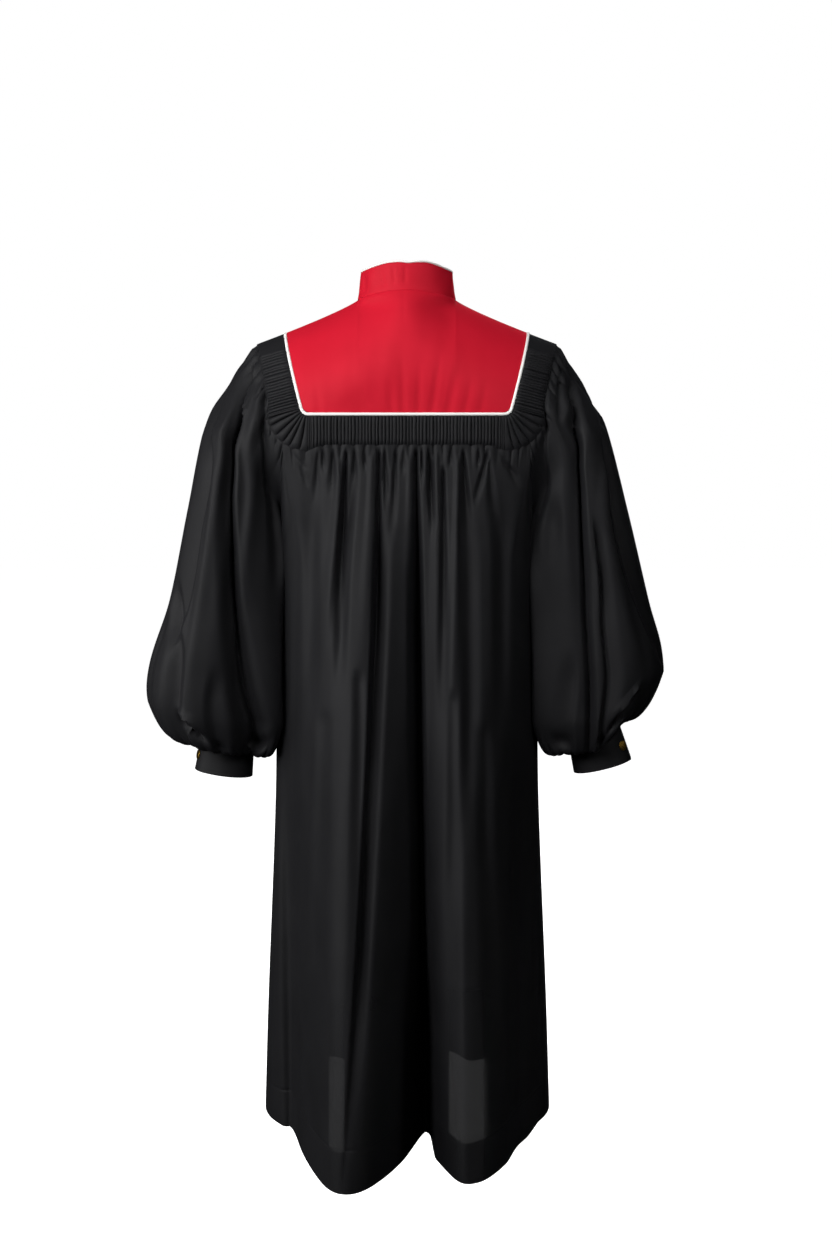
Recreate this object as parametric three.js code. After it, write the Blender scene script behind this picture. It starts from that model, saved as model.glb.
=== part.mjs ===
// Choir robe in the shape it takes when worn: red yoke and stand collar edged with white piping,
// a fluted black band round the yoke, gathered back and fronts, and bishop sleeves on buttoned cuffs.
// Millimetres. The origin is the middle of the neck, level with the collar seam at the sides.
// +X is the wearer's left, +Y is behind, +Z is up.
import * as THREE from "three";

// Cloth and seams
const wall = 2;
const half = wall / 2;
const gap = 0.3;
const tiny = 1e-4;

// Neck and shoulders
const neckHalf = 67;
const neckBack = { depth: 60, rise: 11 };
const neckFront = { depth: 62, rise: -26 };
const neckSide = 2;
const shoulder = { drop: 47, reach: 104, bow: 0.85, roll: 130 };
const chest = { half: 236, back: 122, front: 108, square: 3 };
const chestRounding = { middle: 0.9, side: 0.62 };

// Collar
const collar = { height: 35, lean: 3.5, lift: half + gap + 0.2, columns: 44, rows: 2 };
const collarPiping = 1.4;

// Yoke: the line of its piping, seen from behind
const yoke = { topX: 171, bottomX: 140.5, bottomZ: -157, corner: 10 };
const pipingRadius = 2.2;
const beside = pipingRadius + gap;

// Fluted band outside the piping
const band = { width: 41, cornerBulge: 9, cornerSpread: 18, height: 1.3, plain: 24 };
const backFlutes = { side: 20, corner: 8, bottom: 27 };
const frontFlutes = { side: 16, corner: 7, bottom: 22 };

// Back and fronts, from the gathered seam to the hem
const gatherZ = -200;
const hemZ = -1194;
const underarm = { x: 178, z: -292 };
const armholeShare = 0.645;
const armholeTurn = THREE.MathUtils.degToRad(58);
const easeLength = 190;
const panelGap = 0.6;
const gathers = { depth: 4.2, fade: 120 };
const backGathers = 22;
const frontGathers = 10;

const body = [
  { z: -200, half: 182, back: 122, front: 108, centre: 0, square: 3.0 },
  { z: -290, half: 178, back: 125, front: 114, centre: 0, square: 2.8 },
  { z: -430, half: 183, back: 126, front: 120, centre: -2, square: 2.6 },
  { z: -567, half: 188, back: 127, front: 130, centre: -5, square: 2.4 },
  { z: -718, half: 192, back: 131, front: 144, centre: -9, square: 2.3 },
  { z: -1022, half: 207, back: 146, front: 170, centre: -20, square: 2.1 },
  { z: -1194, half: 214, back: 156, front: 183, centre: -26, square: 2.0 },
];

// Wide flares that start at the gathered seam and are deepest at the hem.
// x is where the flare lies at the top, halfway and at the hem; left and right are its half widths.
const backFlares = [
  { top: 64, bend: 76, hem: 88, left: 84, right: 106, depth: 158 },
  { top: -68, bend: -72, hem: -88, left: 62, right: 106, depth: 128 },
];
const frontFlares = [
  { top: 44, bend: 46, hem: 54, left: 44, right: 40, depth: -34 },
  { top: 116, bend: 124, hem: 134, left: 44, right: 44, depth: -42 },
  { top: -48, bend: -50, hem: -62, left: 42, right: 46, depth: -38 },
  { top: -120, bend: -128, hem: -140, left: 44, right: 42, depth: -36 },
];

// Folds that fade at both ends; a negative depth is a valley seen from behind.
const backFolds = [
  { top: 78, bend: 100, hem: 112, from: -205, to: -560, left: 13, right: 13, depth: -12 },
  { top: 34, bend: 46, hem: 86, from: -205, to: -1040, left: 13, right: 12, depth: -20 },
  { top: -16, bend: -18, hem: -33, from: -205, to: -1500, left: 16, right: 12, depth: -30 },
  { top: -38, bend: -36, hem: -34, from: -202, to: -330, left: 8, right: 8, depth: -7 },
  { top: -84, bend: -86, hem: -92, from: -240, to: -760, left: 16, right: 18, depth: -9 },
  { top: -128, bend: -132, hem: -138, from: -230, to: -620, left: 16, right: 16, depth: -7 },
  { top: 128, bend: 134, hem: 140, from: -230, to: -600, left: 16, right: 16, depth: -7 },
  { top: 172, bend: 172, hem: 166, from: -560, to: -1600, left: 18, right: 20, depth: -14 },
  { top: -168, bend: -164, hem: -156, from: -560, to: -1600, left: 18, right: 22, depth: -12 },
];
const frontFolds = [
  { top: 76, bend: 82, hem: 90, from: -205, to: -1400, left: 14, right: 14, depth: 11 },
  { top: -84, bend: -88, hem: -98, from: -205, to: -1300, left: 14, right: 14, depth: 10 },
  { top: 20, bend: 20, hem: 18, from: -230, to: -900, left: 12, right: 12, depth: 6 },
  { top: -20, bend: -22, hem: -22, from: -230, to: -1000, left: 12, right: 12, depth: 7 },
];

// Sleeves: outer and inner edges seen from behind, and depth behind and in front of the arm.
const leftSleeve = {
  side: 1,
  sections: [
    { z: -60, outer: 216, inner: 176, back: 60, front: 58 },
    { z: -110, outer: 254, inner: 177, back: 80, front: 74 },
    { z: -166, outer: 283, inner: 178, back: 97, front: 88 },
    { z: -292, outer: 312, inner: 181, back: 104, front: 95 },
    { z: -424, outer: 341, inner: 191, back: 103, front: 95 },
    { z: -515, outer: 371, inner: 194, back: 107, front: 98 },
    { z: -570, outer: 374, inner: 195, back: 106, front: 97 },
    { z: -640, outer: 346, inner: 197, back: 92, front: 84 },
  ],
  puff: { outer: -624, inner: -652 },
  cuff: { x: 257, y: 4, topHalf: 35, endHalf: 40, depth: 0.8, top: -612, end: -676, tilt: 8 },
  button: { angle: 12, height: 0.66 },
  folds: [
    { topAngle: 96, lowAngle: 138, from: -80, to: -700, depth: -17, spread: 17 },
    { topAngle: 40, lowAngle: 62, from: -90, to: -640, depth: -13, spread: 15 },
    { topAngle: 62, lowAngle: 96, from: -330, to: -700, depth: 9, spread: 26 },
    { topAngle: 140, lowAngle: 172, from: -260, to: -640, depth: 6, spread: 16 },
    { topAngle: 250, lowAngle: 226, from: -100, to: -660, depth: -13, spread: 18 },
    { topAngle: 310, lowAngle: 296, from: -160, to: -660, depth: -10, spread: 18 },
  ],
};
const rightSleeve = {
  side: -1,
  sections: [
    { z: -60, outer: 217, inner: 176, back: 60, front: 58 },
    { z: -110, outer: 250, inner: 177, back: 80, front: 74 },
    { z: -166, outer: 279, inner: 178, back: 97, front: 88 },
    { z: -292, outer: 314, inner: 181, back: 104, front: 94 },
    { z: -424, outer: 347, inner: 191, back: 103, front: 94 },
    { z: -515, outer: 371, inner: 194, back: 105, front: 96 },
    { z: -570, outer: 358, inner: 195, back: 101, front: 94 },
    { z: -640, outer: 322, inner: 197, back: 88, front: 82 },
  ],
  puff: { outer: -582, inner: -656 },
  cuff: { x: 268, y: 8, topHalf: 37, endHalf: 42, depth: 0.8, top: -604, end: -666, tilt: 15 },
  button: { angle: 34, height: 0.62 },
  folds: [
    { topAngle: 84, lowAngle: 100, from: -80, to: -560, depth: -9, spread: 20 },
    { topAngle: 44, lowAngle: 58, from: -240, to: -660, depth: -10, spread: 14 },
    { topAngle: 26, lowAngle: 36, from: -260, to: -700, depth: 9, spread: 14 },
    { topAngle: 124, lowAngle: 136, from: -300, to: -700, depth: -10, spread: 20 },
    { topAngle: 250, lowAngle: 232, from: -100, to: -660, depth: -12, spread: 18 },
    { topAngle: 316, lowAngle: 300, from: -140, to: -660, depth: -10, spread: 18 },
  ],
};
const sleeveGathers = { count: 14, head: 3.4, headLength: 90, cuff: 3.2 };
const sleeveCrowding = 0.5;
const sleeveSquare = 0.84;
const sleeveFall = 0.74;
const sleeveHold = { outside: 120, beside: 70 };
const sleeveGap = 1.3;
const sleeveBeside = wall + gap + 0.3;
const sleeveFacing = THREE.MathUtils.degToRad(52);

// The puff over the cuff: where it starts to turn in, how far it sags, and where it meets the cuff.
const puffCurve = { height: 56, sag: 18, early: 0.25, middle: 0.6, clear: 8, lift: 9 };
const cuffSeam = { inside: 0.5, above: half + gap + 1 };

// The cuff's end laps over its start, under the button.
const lap = { turn: THREE.MathUtils.degToRad(26), centre: 0.6, lift: wall + gap + 0.3 };

// Gold shank button
const button = { radius: 7, thick: 1.2, rim: 1.9, dome: 3.4, dip: 1.4, segments: 16 };

const clamp = (value, low, high) => Math.min(high, Math.max(low, value));
const mix = (a, b, share) => a + (b - a) * share;
const radians = THREE.MathUtils.degToRad;

function ease(share) {
  const t = clamp(share, 0, 1);
  return t * t * (3 - 2 * t);
}

function hump(offset, reach, power = 2) {
  return Math.abs(offset) < reach ? Math.cos((Math.PI / 2) * (offset / reach)) ** power : 0;
}

// Value at a share of the Bezier curve through a list of control values.
function bezier(controls, share) {
  let row = controls;
  while (row.length > 1) row = row.slice(1).map((value, i) => mix(row[i], value, share));
  return row[0];
}

// Value of one column of a table at height z, on a smooth curve through its rows.
function column(table, name, z) {
  let i = 0;
  while (i < table.length - 2 && z < table[i + 1].z) i++;
  const [a, b] = [table[i], table[i + 1]];
  const before = table[i - 1] ?? a;
  const after = table[i + 2] ?? b;
  const span = b.z - a.z;
  const t = clamp((z - a.z) / span, 0, 1);
  const slopeA = ((b[name] - before[name]) / (b.z - before.z)) * span;
  const slopeB = ((after[name] - a[name]) / (after.z - a.z)) * span;
  const [t2, t3] = [t * t, t * t * t];
  const start = (2 * t3 - 3 * t2 + 1) * a[name] + (t3 - 2 * t2 + t) * slopeA;
  return start + (3 * t2 - 2 * t3) * b[name] + (t3 - t2) * slopeB;
}

// Values from 0 to 1; power above 1 crowds them toward 0.
function steps(count, power = 1) {
  return Array.from({ length: count + 1 }, (_, i) => (i / count) ** power);
}

// A closed body from a grid of outer points and the matching grid of inner points.
function closedBody(outer, inner, ring) {
  const [columns, rows] = [outer.length, outer[0].length];
  const points = [...outer.flat(), ...inner.flat()];
  const at = (skin, i, j) => skin * columns * rows + (i % columns) * rows + j;
  const faces = [];
  const quad = (a, b, c, d) => faces.push(a, b, c, a, c, d);
  const spans = ring ? columns : columns - 1;
  for (let i = 0; i < spans; i++) {
    for (let j = 0; j < rows - 1; j++) {
      quad(at(0, i, j), at(0, i + 1, j), at(0, i + 1, j + 1), at(0, i, j + 1));
      quad(at(1, i, j), at(1, i, j + 1), at(1, i + 1, j + 1), at(1, i + 1, j));
    }
    quad(at(0, i, 0), at(1, i, 0), at(1, i + 1, 0), at(0, i + 1, 0));
    quad(at(0, i, rows - 1), at(0, i + 1, rows - 1), at(1, i + 1, rows - 1), at(1, i, rows - 1));
  }
  for (let j = 0; !ring && j < rows - 1; j++) {
    quad(at(0, 0, j), at(0, 0, j + 1), at(1, 0, j + 1), at(1, 0, j));
    quad(at(0, spans, j), at(1, spans, j), at(1, spans, j + 1), at(0, spans, j + 1));
  }
  let volume = 0;
  for (let f = 0; f < faces.length; f += 3) {
    const [a, b, c] = [points[faces[f]], points[faces[f + 1]], points[faces[f + 2]]];
    volume += a.dot(b.clone().cross(c));
  }
  if (volume < 0) faces.reverse();
  const geometry = new THREE.BufferGeometry().setFromPoints(points);
  geometry.setIndex(faces);
  geometry.computeVertexNormals();
  return geometry;
}

// Direction square to surface(u, v), toward the outside of the robe. Along a seam between back
// and front it stays in the plane of the seam, so that the two edges lie face to face.
function outward(surface, u, v) {
  const [u0, u1] = [Math.max(u - tiny, surface.low ?? 0), Math.min(u + tiny, surface.high ?? 1)];
  const [v0, v1] = [Math.max(v - tiny, 0), Math.min(v + tiny, 1)];
  const across = surface(u1, v).sub(surface(u0, v));
  const down = surface(u, v1).sub(surface(u, v0));
  const normal = across.cross(down);
  if (surface.onSideSeam?.(u, v)) normal.y = 0;
  if (surface.onGatherSeam?.(u, v)) normal.z = 0;
  return normal.normalize().multiplyScalar(surface.facing ?? 1);
}

// Cloth wall round surface(u, v). raised(u, v) lifts the outer skin only, as fluting does.
function cloth(surface, us, vs, { ring = false, raised = () => 0 } = {}) {
  const skin = (offset) =>
    us.map((u) =>
      vs.map((v) => surface(u, v).addScaledVector(outward(surface, u, v), offset(u, v))),
    );
  return closedBody(
    skin((u, v) => half + raised(u, v)),
    skin(() => -half),
    ring,
  );
}

// Round cord along a list of points, closed at both ends.
function cord(points, radius, stepsAlong) {
  const section = new THREE.Shape();
  section.absarc(0, 0, radius, 0, 2 * Math.PI);
  return new THREE.ExtrudeGeometry(section, {
    steps: stepsAlong,
    curveSegments: 3,
    bevelEnabled: false,
    extrudePath: new THREE.CatmullRomCurve3(points, false, "centripetal"),
  });
}

// Shape of the shoulders. side is 1 behind and -1 in front.

const neckOf = (side) => (side > 0 ? neckBack : neckFront);

// Height of the top edge of the yoke and band: the collar seam, then the shoulder line.
function topEdge(x, side) {
  const w = Math.abs(x);
  if (w < neckHalf) return neckSide + neckOf(side).rise * (1 - (w / neckHalf) ** 2);
  return neckSide - shoulder.drop * ((w - neckHalf) / shoulder.reach) ** shoulder.bow;
}

// How far the chest or upper back stands behind or before the shoulder line at x, z.
function chestDepth(x, z, side) {
  const w = Math.abs(x);
  const toSide = clamp(w / neckHalf, 0, 1);
  const fall = clamp((topEdge(x, side) - z) / shoulder.roll, 0, 1);
  const seam = neckOf(side).depth * (1 - toSide ** 2) ** mix(0.5, 2, ease(5 * fall));
  const rounding = (1 - (1 - fall) ** 2) ** mix(chestRounding.middle, chestRounding.side, toSide);
  const full = (side > 0 ? chest.back : chest.front) *
    Math.max(0, 1 - (w / chest.half) ** chest.square) ** (1 / chest.square);
  return seam + (full - seam) * rounding;
}

function chestPoint(x, z, side) {
  return new THREE.Vector3(x, side * (chestDepth(x, z, side) + gap / 2), z);
}

// The yoke's outline on one half, seen from behind: down the side, round the corner, along the bottom.
const sideRun = new THREE.Vector2(yoke.bottomX - yoke.topX, yoke.bottomZ - topEdge(yoke.topX, 1));
const sideLength = sideRun.length();
const sideDirection = sideRun.clone().normalize();
const turn = Math.acos(-sideDirection.x);
const trim = yoke.corner * Math.tan(turn / 2);
const sideStraight = sideLength - trim;
const arcLength = yoke.corner * turn;
const bottomStraight = yoke.bottomX - trim;
const outlineLength = sideStraight + arcLength + bottomStraight;

// Point of the outline at a distance from the shoulder, and its outward direction.
function outline(distance) {
  const out = new THREE.Vector2(-sideDirection.y, sideDirection.x);
  const start = new THREE.Vector2(yoke.topX, topEdge(yoke.topX, 1));
  if (distance <= sideStraight) {
    return { point: start.addScaledVector(sideDirection, distance), out };
  }
  const arcStart = start.addScaledVector(sideDirection, sideStraight);
  const centre = arcStart.addScaledVector(out, -yoke.corner);
  const along = Math.min(distance - sideStraight, arcLength);
  const turned = out.rotateAround(new THREE.Vector2(), -along / yoke.corner);
  const point = centre.addScaledVector(turned, yoke.corner);
  point.x -= Math.max(0, distance - sideStraight - arcLength);
  return { point, out: turned };
}

function bandWidth(distance) {
  const fromCorner = (distance - sideStraight - arcLength / 2) / band.cornerSpread;
  return band.width + band.cornerBulge * Math.exp(-fromCorner * fromCorner);
}

// Point of the band, from the piping at across 0 to the armhole or gathered seam at across 1.
// distance runs along the outline from the left shoulder to the right one.
function bandPoint(distance, across, side, beyond = 0) {
  const mirrored = distance > outlineLength;
  const along = mirrored ? 2 * outlineLength - distance : distance;
  const { point, out } = outline(along);
  const reach = mix(beside, bandWidth(along), across) + beyond;
  let [x, z] = [point.x + out.x * reach, point.y + out.y * reach];
  z = Math.min(z, mix(z, topEdge(x, side), clamp(1 - distance / 6, 0, 1)));
  return chestPoint(mirrored ? -x : x, Math.min(z, topEdge(x, side)), side);
}

// The outer edge of one half of the band, measured from the shoulder tip.
const cornerDistance = sideStraight + arcLength / 2;
const outerEdge = [{ distance: 0, length: 0, point: bandPoint(0, 1, 1) }];
for (const share of steps(300).slice(1)) {
  const point = bandPoint(share * outlineLength, 1, 1);
  const last = outerEdge.at(-1);
  const length = last.length + Math.hypot(point.x - last.point.x, point.z - last.point.z);
  outerEdge.push({ distance: share * outlineLength, length, point });
}
const edgeLength = outerEdge.at(-1).length;
const cornerLength = outerEdge.find((row) => row.distance >= cornerDistance).length;

function distanceAt(length) {
  const next = outerEdge.findIndex((row) => row.length >= length);
  if (next < 1) return next === 0 ? 0 : outlineLength;
  const [a, b] = [outerEdge[next - 1], outerEdge[next]];
  return mix(a.distance, b.distance, (length - a.length) / (b.length - a.length));
}

// Distances along half the outline where a flute has its crest or its valley.
function fluteDistances(flutes) {
  const parts = [
    [band.plain, sideStraight - 4, flutes.side],
    [sideStraight - 4, sideStraight + arcLength + 4, flutes.corner],
    [sideStraight + arcLength + 4, outlineLength, flutes.bottom],
  ];
  const list = [0, band.plain / 2];
  for (const [from, to, count] of parts)
    for (let i = 0; i < 2 * count; i++) list.push(mix(from, to, i / (2 * count)));
  list.push(outlineLength);
  return list;
}

// Body below the band

function foldHeight(row, x, drop, power) {
  const centre = mix(mix(row.top, row.bend, drop), mix(row.bend, row.hem, drop), drop);
  return row.depth * hump(x - centre, x > centre ? row.left : row.right, power);
}

function foldsAt(flares, folds, x, z) {
  const drop = clamp((gatherZ - z) / (gatherZ - hemZ), 0, 1);
  let shift = 0;
  for (const row of flares) shift += foldHeight(row, x, drop, 1.2) * drop;
  for (const row of folds) {
    const run = (row.from - z) / (row.from - row.to);
    shift += foldHeight(row, x, drop, 2) * ease(run * 4) * ease((1 - run) * 2.5);
  }
  return shift;
}

// Point of the draped body at a turn from straight behind (0) to the side seam (90 degrees).
function bodyRing(turnFromMiddle, z, side) {
  const halfWidth = column(body, "half", z);
  const depth = column(body, side > 0 ? "back" : "front", z);
  const square = column(body, "square", z);
  const [s, c] = [Math.sin(turnFromMiddle), Math.cos(turnFromMiddle)];
  const reach =
    (Math.abs(s / halfWidth) ** square + Math.abs(c / depth) ** square) ** (-1 / square);
  const x = reach * s;
  const flares = side > 0 ? backFlares : frontFlares;
  const folds = side > 0 ? backFolds : frontFolds;
  const shift = foldsAt(flares, folds, x, z) * ease(Math.abs(c) * 4);
  return new THREE.Vector3(x, column(body, "centre", z) + side * reach * c + shift, z);
}

// Top edge of the back or front: along the band, then down the armhole to the underarm.
const armholeCorner = (side) => bandPoint(cornerDistance, 1, side);

function armhole(share, side) {
  const corner = armholeCorner(side);
  const quarter = (share * Math.PI) / 2;
  return new THREE.Vector3(
    mix(corner.x, underarm.x, ease(share)),
    corner.y * Math.cos(quarter) + (side * gap) / 2,
    mix(corner.z, underarm.z, Math.sin(quarter)),
  );
}

// across runs from -1 at the right side seam to 1 at the left one.
function panelTop(across, side) {
  const w = Math.abs(across);
  const sign = Math.sign(across) || 1;
  let point;
  if (w < armholeShare) {
    const distance = distanceAt(mix(edgeLength, cornerLength, w / armholeShare));
    point = bandPoint(distance, 1, side, panelGap);
  } else {
    point = armhole((w - armholeShare) / (1 - armholeShare), side);
    point.z -= panelGap;
  }
  point.x *= sign;
  return point;
}

function gatherWave(across, count, z, topZ) {
  const along = clamp(across / armholeShare, -1, 1);
  const uneven = 1 + 0.3 * Math.sin(11 * across) + 0.2 * Math.sin(23 * across + 1);
  const fade = ease(1 - (topZ - z) / (gathers.fade * uneven));
  const inside = ease((1 - Math.abs(along)) * 8);
  return gathers.depth * uneven * fade * inside * Math.cos(Math.PI * count * along);
}

// Turn round the body of a column of the panel, even in width along the gathered seam.
function panelTurn(across) {
  const w = Math.abs(across);
  const turned =
    w < armholeShare
      ? Math.atan((w / armholeShare) * Math.tan(armholeTurn))
      : mix(armholeTurn, Math.PI / 2, (w - armholeShare) / (1 - armholeShare));
  return Math.sign(across) * turned;
}

function panelPoint(across, down, side, count) {
  const top = panelTop(across, side);
  const z = mix(top.z, hemZ, down);
  const turned = panelTurn(across);
  const point = bodyRing(turned, z, side);
  const join = top.clone().sub(bodyRing(turned, top.z, side));
  const hold = ease(1 - (top.z - z) / easeLength);
  point.addScaledVector(join, hold);
  point.y += side * gatherWave(across, count, z, top.z);
  point.y += (side * gap * ease(Math.abs(across) * 20 - 19)) / 2;
  return point;
}

// Sleeves. turn 0 is the outside of the arm, 90 degrees is behind, 180 is inside.

// Top edge of the sleeve all round the armhole, from the shoulder tip behind the arm to the underarm
// and back. Along the band it meets edge to edge; below, it lies beside the edge of the panel.
const bandColumns = 8;
const bandShare = bandColumns / sleeveGathers.count;

function armholeRing(turnRound) {
  const side = turnRound <= Math.PI ? 1 : -1;
  const share = (side > 0 ? turnRound : 2 * Math.PI - turnRound) / Math.PI;
  const alongBand = Math.min(share / bandShare, 1);
  const below = Math.max(0, (share - bandShare) / (1 - bandShare));
  const clearOfBand = sleeveGap * (1 - ease(alongBand * 4 - 3));
  const point =
    below > 0
      ? armhole(below, side)
      : bandPoint(distanceAt(alongBand * cornerLength), 1, side, clearOfBand);
  const facing = mix(sleeveFacing, Math.PI / 2, ease(below * 1.3));
  const beyond = sleeveBeside * ease(alongBand * 3 - 2);
  point.x += beyond * Math.sin(facing);
  point.y += side * beyond * Math.cos(facing);
  return point;
}

// The fuller outside of the arm takes more of the cloth that the armhole gathers.
function ringTurn(turnRound) {
  return turnRound + sleeveCrowding * Math.sin(turnRound);
}

// Degrees from a fold's centre to a turn, the short way round.
function degreesFrom(centre, turnRound) {
  return THREE.MathUtils.euclideanModulo(THREE.MathUtils.radToDeg(turnRound) - centre + 180, 360) - 180;
}

function sleeveRing(sleeve, turnRound, z) {
  const outer = column(sleeve.sections, "outer", z);
  const inner = column(sleeve.sections, "inner", z);
  const depth = column(sleeve.sections, Math.sin(turnRound) > 0 ? "back" : "front", z);
  let swell = 0;
  for (const row of sleeve.folds) {
    const run = (row.from - z) / (row.from - row.to);
    const centre = mix(row.topAngle, row.lowAngle, clamp(run, 0, 1));
    const off = degreesFrom(centre, turnRound);
    swell += row.depth * hump(off, row.spread) * ease(run * 3.5) * ease((1 - run) * 3);
  }
  const [c, s] = [Math.cos(turnRound), Math.sin(turnRound)];
  const square = mix(1, sleeveSquare, ease(-2 * c));
  const halfWidth = (outer - inner) / 2;
  return new THREE.Vector3(
    (outer + inner) / 2 + (halfWidth + swell * 0.6) * Math.sign(c) * Math.abs(c) ** square,
    (depth + swell) * Math.sign(s) * Math.abs(s) ** square,
    z,
  );
}

// Point of the cuff at a turn and a share of its length, with its axis tilted outward.
function cuffRing(cuff, turnRound, share, grow = 0) {
  const radius = mix(cuff.topHalf, cuff.endHalf, share) + grow;
  const local = new THREE.Vector3(
    radius * Math.cos(turnRound),
    radius * cuff.depth * Math.sin(turnRound),
    (cuff.end - cuff.top) * share,
  );
  local.applyAxisAngle(new THREE.Vector3(0, 1, 0), -radians(cuff.tilt));
  return local.add(new THREE.Vector3(cuff.x, cuff.y, cuff.top));
}

// down runs from the armhole, over the fall of the sleeve, under the puff and up to the cuff.
function sleevePoint(sleeve, share, down) {
  const turnRound = share * 2 * Math.PI;
  const turned = ringTurn(turnRound);
  const top = armholeRing(turnRound);
  const inward = (1 - Math.cos(turned)) / 2;
  const low = mix(sleeve.puff.outer, sleeve.puff.inner, inward);
  const turnZ = low + puffCurve.height;
  const fall = clamp(down / sleeveFall, 0, 1);
  const under = clamp((down - sleeveFall) / (1 - sleeveFall), 0, 1);
  const z = mix(top.z, turnZ, fall);
  const point = sleeveRing(sleeve, turned, z);
  const holdLength = mix(sleeveHold.outside, sleeveHold.beside, ease(inward * 3));
  const hold = ease(1 - (top.z - z) / holdLength);
  point.addScaledVector(top.clone().sub(sleeveRing(sleeve, turned, top.z)), hold);
  const pucker = Math.cos(sleeveGathers.count * turnRound);
  const headFade = ease(1 - (top.z - z) / sleeveGathers.headLength) * ease(fall * 30);
  const clearOfBody = ease(0.75 + 0.75 * Math.cos(turnRound));
  const head = sleeveGathers.head * headFade * clearOfBody;
  const centre = sleeveRing(sleeve, 0, z).add(sleeveRing(sleeve, Math.PI, z)).multiplyScalar(0.5);
  const radial = point.clone().sub(centre).setZ(0).normalize();
  point.addScaledVector(radial, pucker * head);
  if (under > 0) {
    const end = cuffRing(sleeve.cuff, turned, 0, cuffSeam.inside);
    end.z += cuffSeam.above;
    const run = Math.hypot(point.x - end.x, point.y - end.y);
    const last = 1 - puffCurve.clear / run;
    const inShare = bezier([0, puffCurve.early, puffCurve.middle, last, 1], under);
    const wave = sleeveGathers.cuff * pucker * ease(under * 2) * ease(5 - 5 * under);
    point.x = mix(point.x, end.x, inShare);
    point.y = mix(point.y, end.y, inShare);
    point.z = bezier([turnZ, low - 4, low - puffCurve.sag, end.z + puffCurve.lift, end.z], under);
    point.addScaledVector(radial, wave);
  }
  point.x *= sleeve.side;
  return point;
}

function cuffPoint(sleeve, share, down) {
  const start = radians(sleeve.button.angle) + lap.turn * lap.centre;
  const turnRound = start - share * (2 * Math.PI + lap.turn);
  const lift = lap.lift * ease((share - 0.8) / 0.12);
  const point = cuffRing(sleeve.cuff, turnRound, down, lift);
  point.x *= sleeve.side;
  return point;
}

const finishes = {
  black: new THREE.MeshStandardMaterial({ color: "#1b1b1f", roughness: 0.82, metalness: 0 }),
  red: new THREE.MeshStandardMaterial({ color: "#c9182b", roughness: 0.6, metalness: 0 }),
  white: new THREE.MeshStandardMaterial({ color: "#f3f1ee", roughness: 0.5, metalness: 0 }),
  gold: new THREE.MeshStandardMaterial({ color: "#d4a437", roughness: 0.3, metalness: 1 }),
};

const robe = new THREE.Group();

function sew(name, finish, geometry) {
  const mesh = new THREE.Mesh(geometry, finishes[finish]);
  mesh.name = name;
  robe.add(mesh);
  return mesh;
}

// Collar, open at the middle of the front, with piping along its top edge.
function collarPoint(share, up) {
  const opening = radians(0.35);
  const turnRound = mix(opening, 2 * Math.PI - opening, share) - Math.PI / 2;
  const [c, s] = [Math.cos(turnRound), Math.sin(turnRound)];
  const side = Math.sign(s) || 1;
  const lean = collar.lean * up;
  const x = (neckHalf - lean) * c;
  const y = (neckOf(side).depth - lean) * s;
  const seam = topEdge(neckHalf * c * (1 - tiny), side);
  return new THREE.Vector3(x, y, seam + collar.lift + collar.height * up);
}

function addCollar() {
  sew("collar", "red", cloth(collarPoint, steps(collar.columns), steps(collar.rows)));
  const path = steps(collar.columns / 2).map((share) => {
    const point = collarPoint(share, 1);
    point.z += collarPiping + gap;
    return point;
  });
  sew("collar_piping", "white", cord(path, collarPiping, 34));
}

// Yoke: the whole back in one piece, and each front from the middle to the side.
function yokeHalfWidth(z, bottom) {
  const top = topEdge(yoke.topX, 1);
  const line = mix(yoke.topX, yoke.bottomX, clamp((top - z) / (top - yoke.bottomZ), 0, 1)) - beside;
  const corner = yoke.corner - beside;
  const intoCorner = clamp(1 - (z - bottom) / corner, 0, 1);
  return line - corner * (1 - Math.sqrt(1 - intoCorner * intoCorner));
}

function yokePoint(across, down, side) {
  const bottom = yoke.bottomZ + beside;
  let x = across * (yoke.topX - beside);
  let z = topEdge(x, side);
  for (let pass = 0; pass < 4; pass++) {
    z = mix(topEdge(x, side), bottom, down);
    x = across * yokeHalfWidth(z, bottom);
  }
  return chestPoint(x, z, side);
}

// Columns of half the yoke: even turns round the neck, then even steps along the shoulder.
function yokeColumns() {
  const neckShare = neckHalf / (yoke.topX - beside);
  const neck = steps(6).map((share) => neckShare * Math.sin((share * Math.PI) / 2));
  return [...neck, ...steps(4).slice(1).map((share) => mix(neckShare, 1, share))];
}

function addYoke() {
  const rows = [0, 0.06, 0.2, 0.4, 0.62, 0.84, 0.955, 0.985, 1];
  const columns = yokeColumns();
  const back = (u, v) => yokePoint(u, v, 1);
  [back.low, back.facing] = [-1, -1];
  back.onSideSeam = (u, v) => v === 0 && Math.abs(u) * yoke.topX > neckHalf;
  const whole = [...columns.slice(1).reverse().map((u) => -u), ...columns];
  sew("back_yoke", "red", cloth(back, whole, rows));
  for (const [name, sign] of [["left", 1], ["right", -1]]) {
    const front = (u, v) => yokePoint(sign * Math.max(u, 0.001), v, -1);
    front.facing = sign;
    front.onSideSeam = (u, v) => v === 0 && u * yoke.topX > neckHalf;
    sew("front_yoke_" + name, "red", cloth(front, columns, rows));
  }
}

// Piping sunk between the yoke and the band.
function pipingPath(from, to, count, side) {
  return steps(count).map((share) => {
    const distance = mix(from, to, share);
    const mirrored = distance > outlineLength;
    const { point } = outline(mirrored ? 2 * outlineLength - distance : distance);
    const at = chestPoint(point.x, Math.min(point.y, topEdge(point.x, side) - tiny), side);
    if (mirrored) at.x *= -1;
    return at;
  });
}

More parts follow.
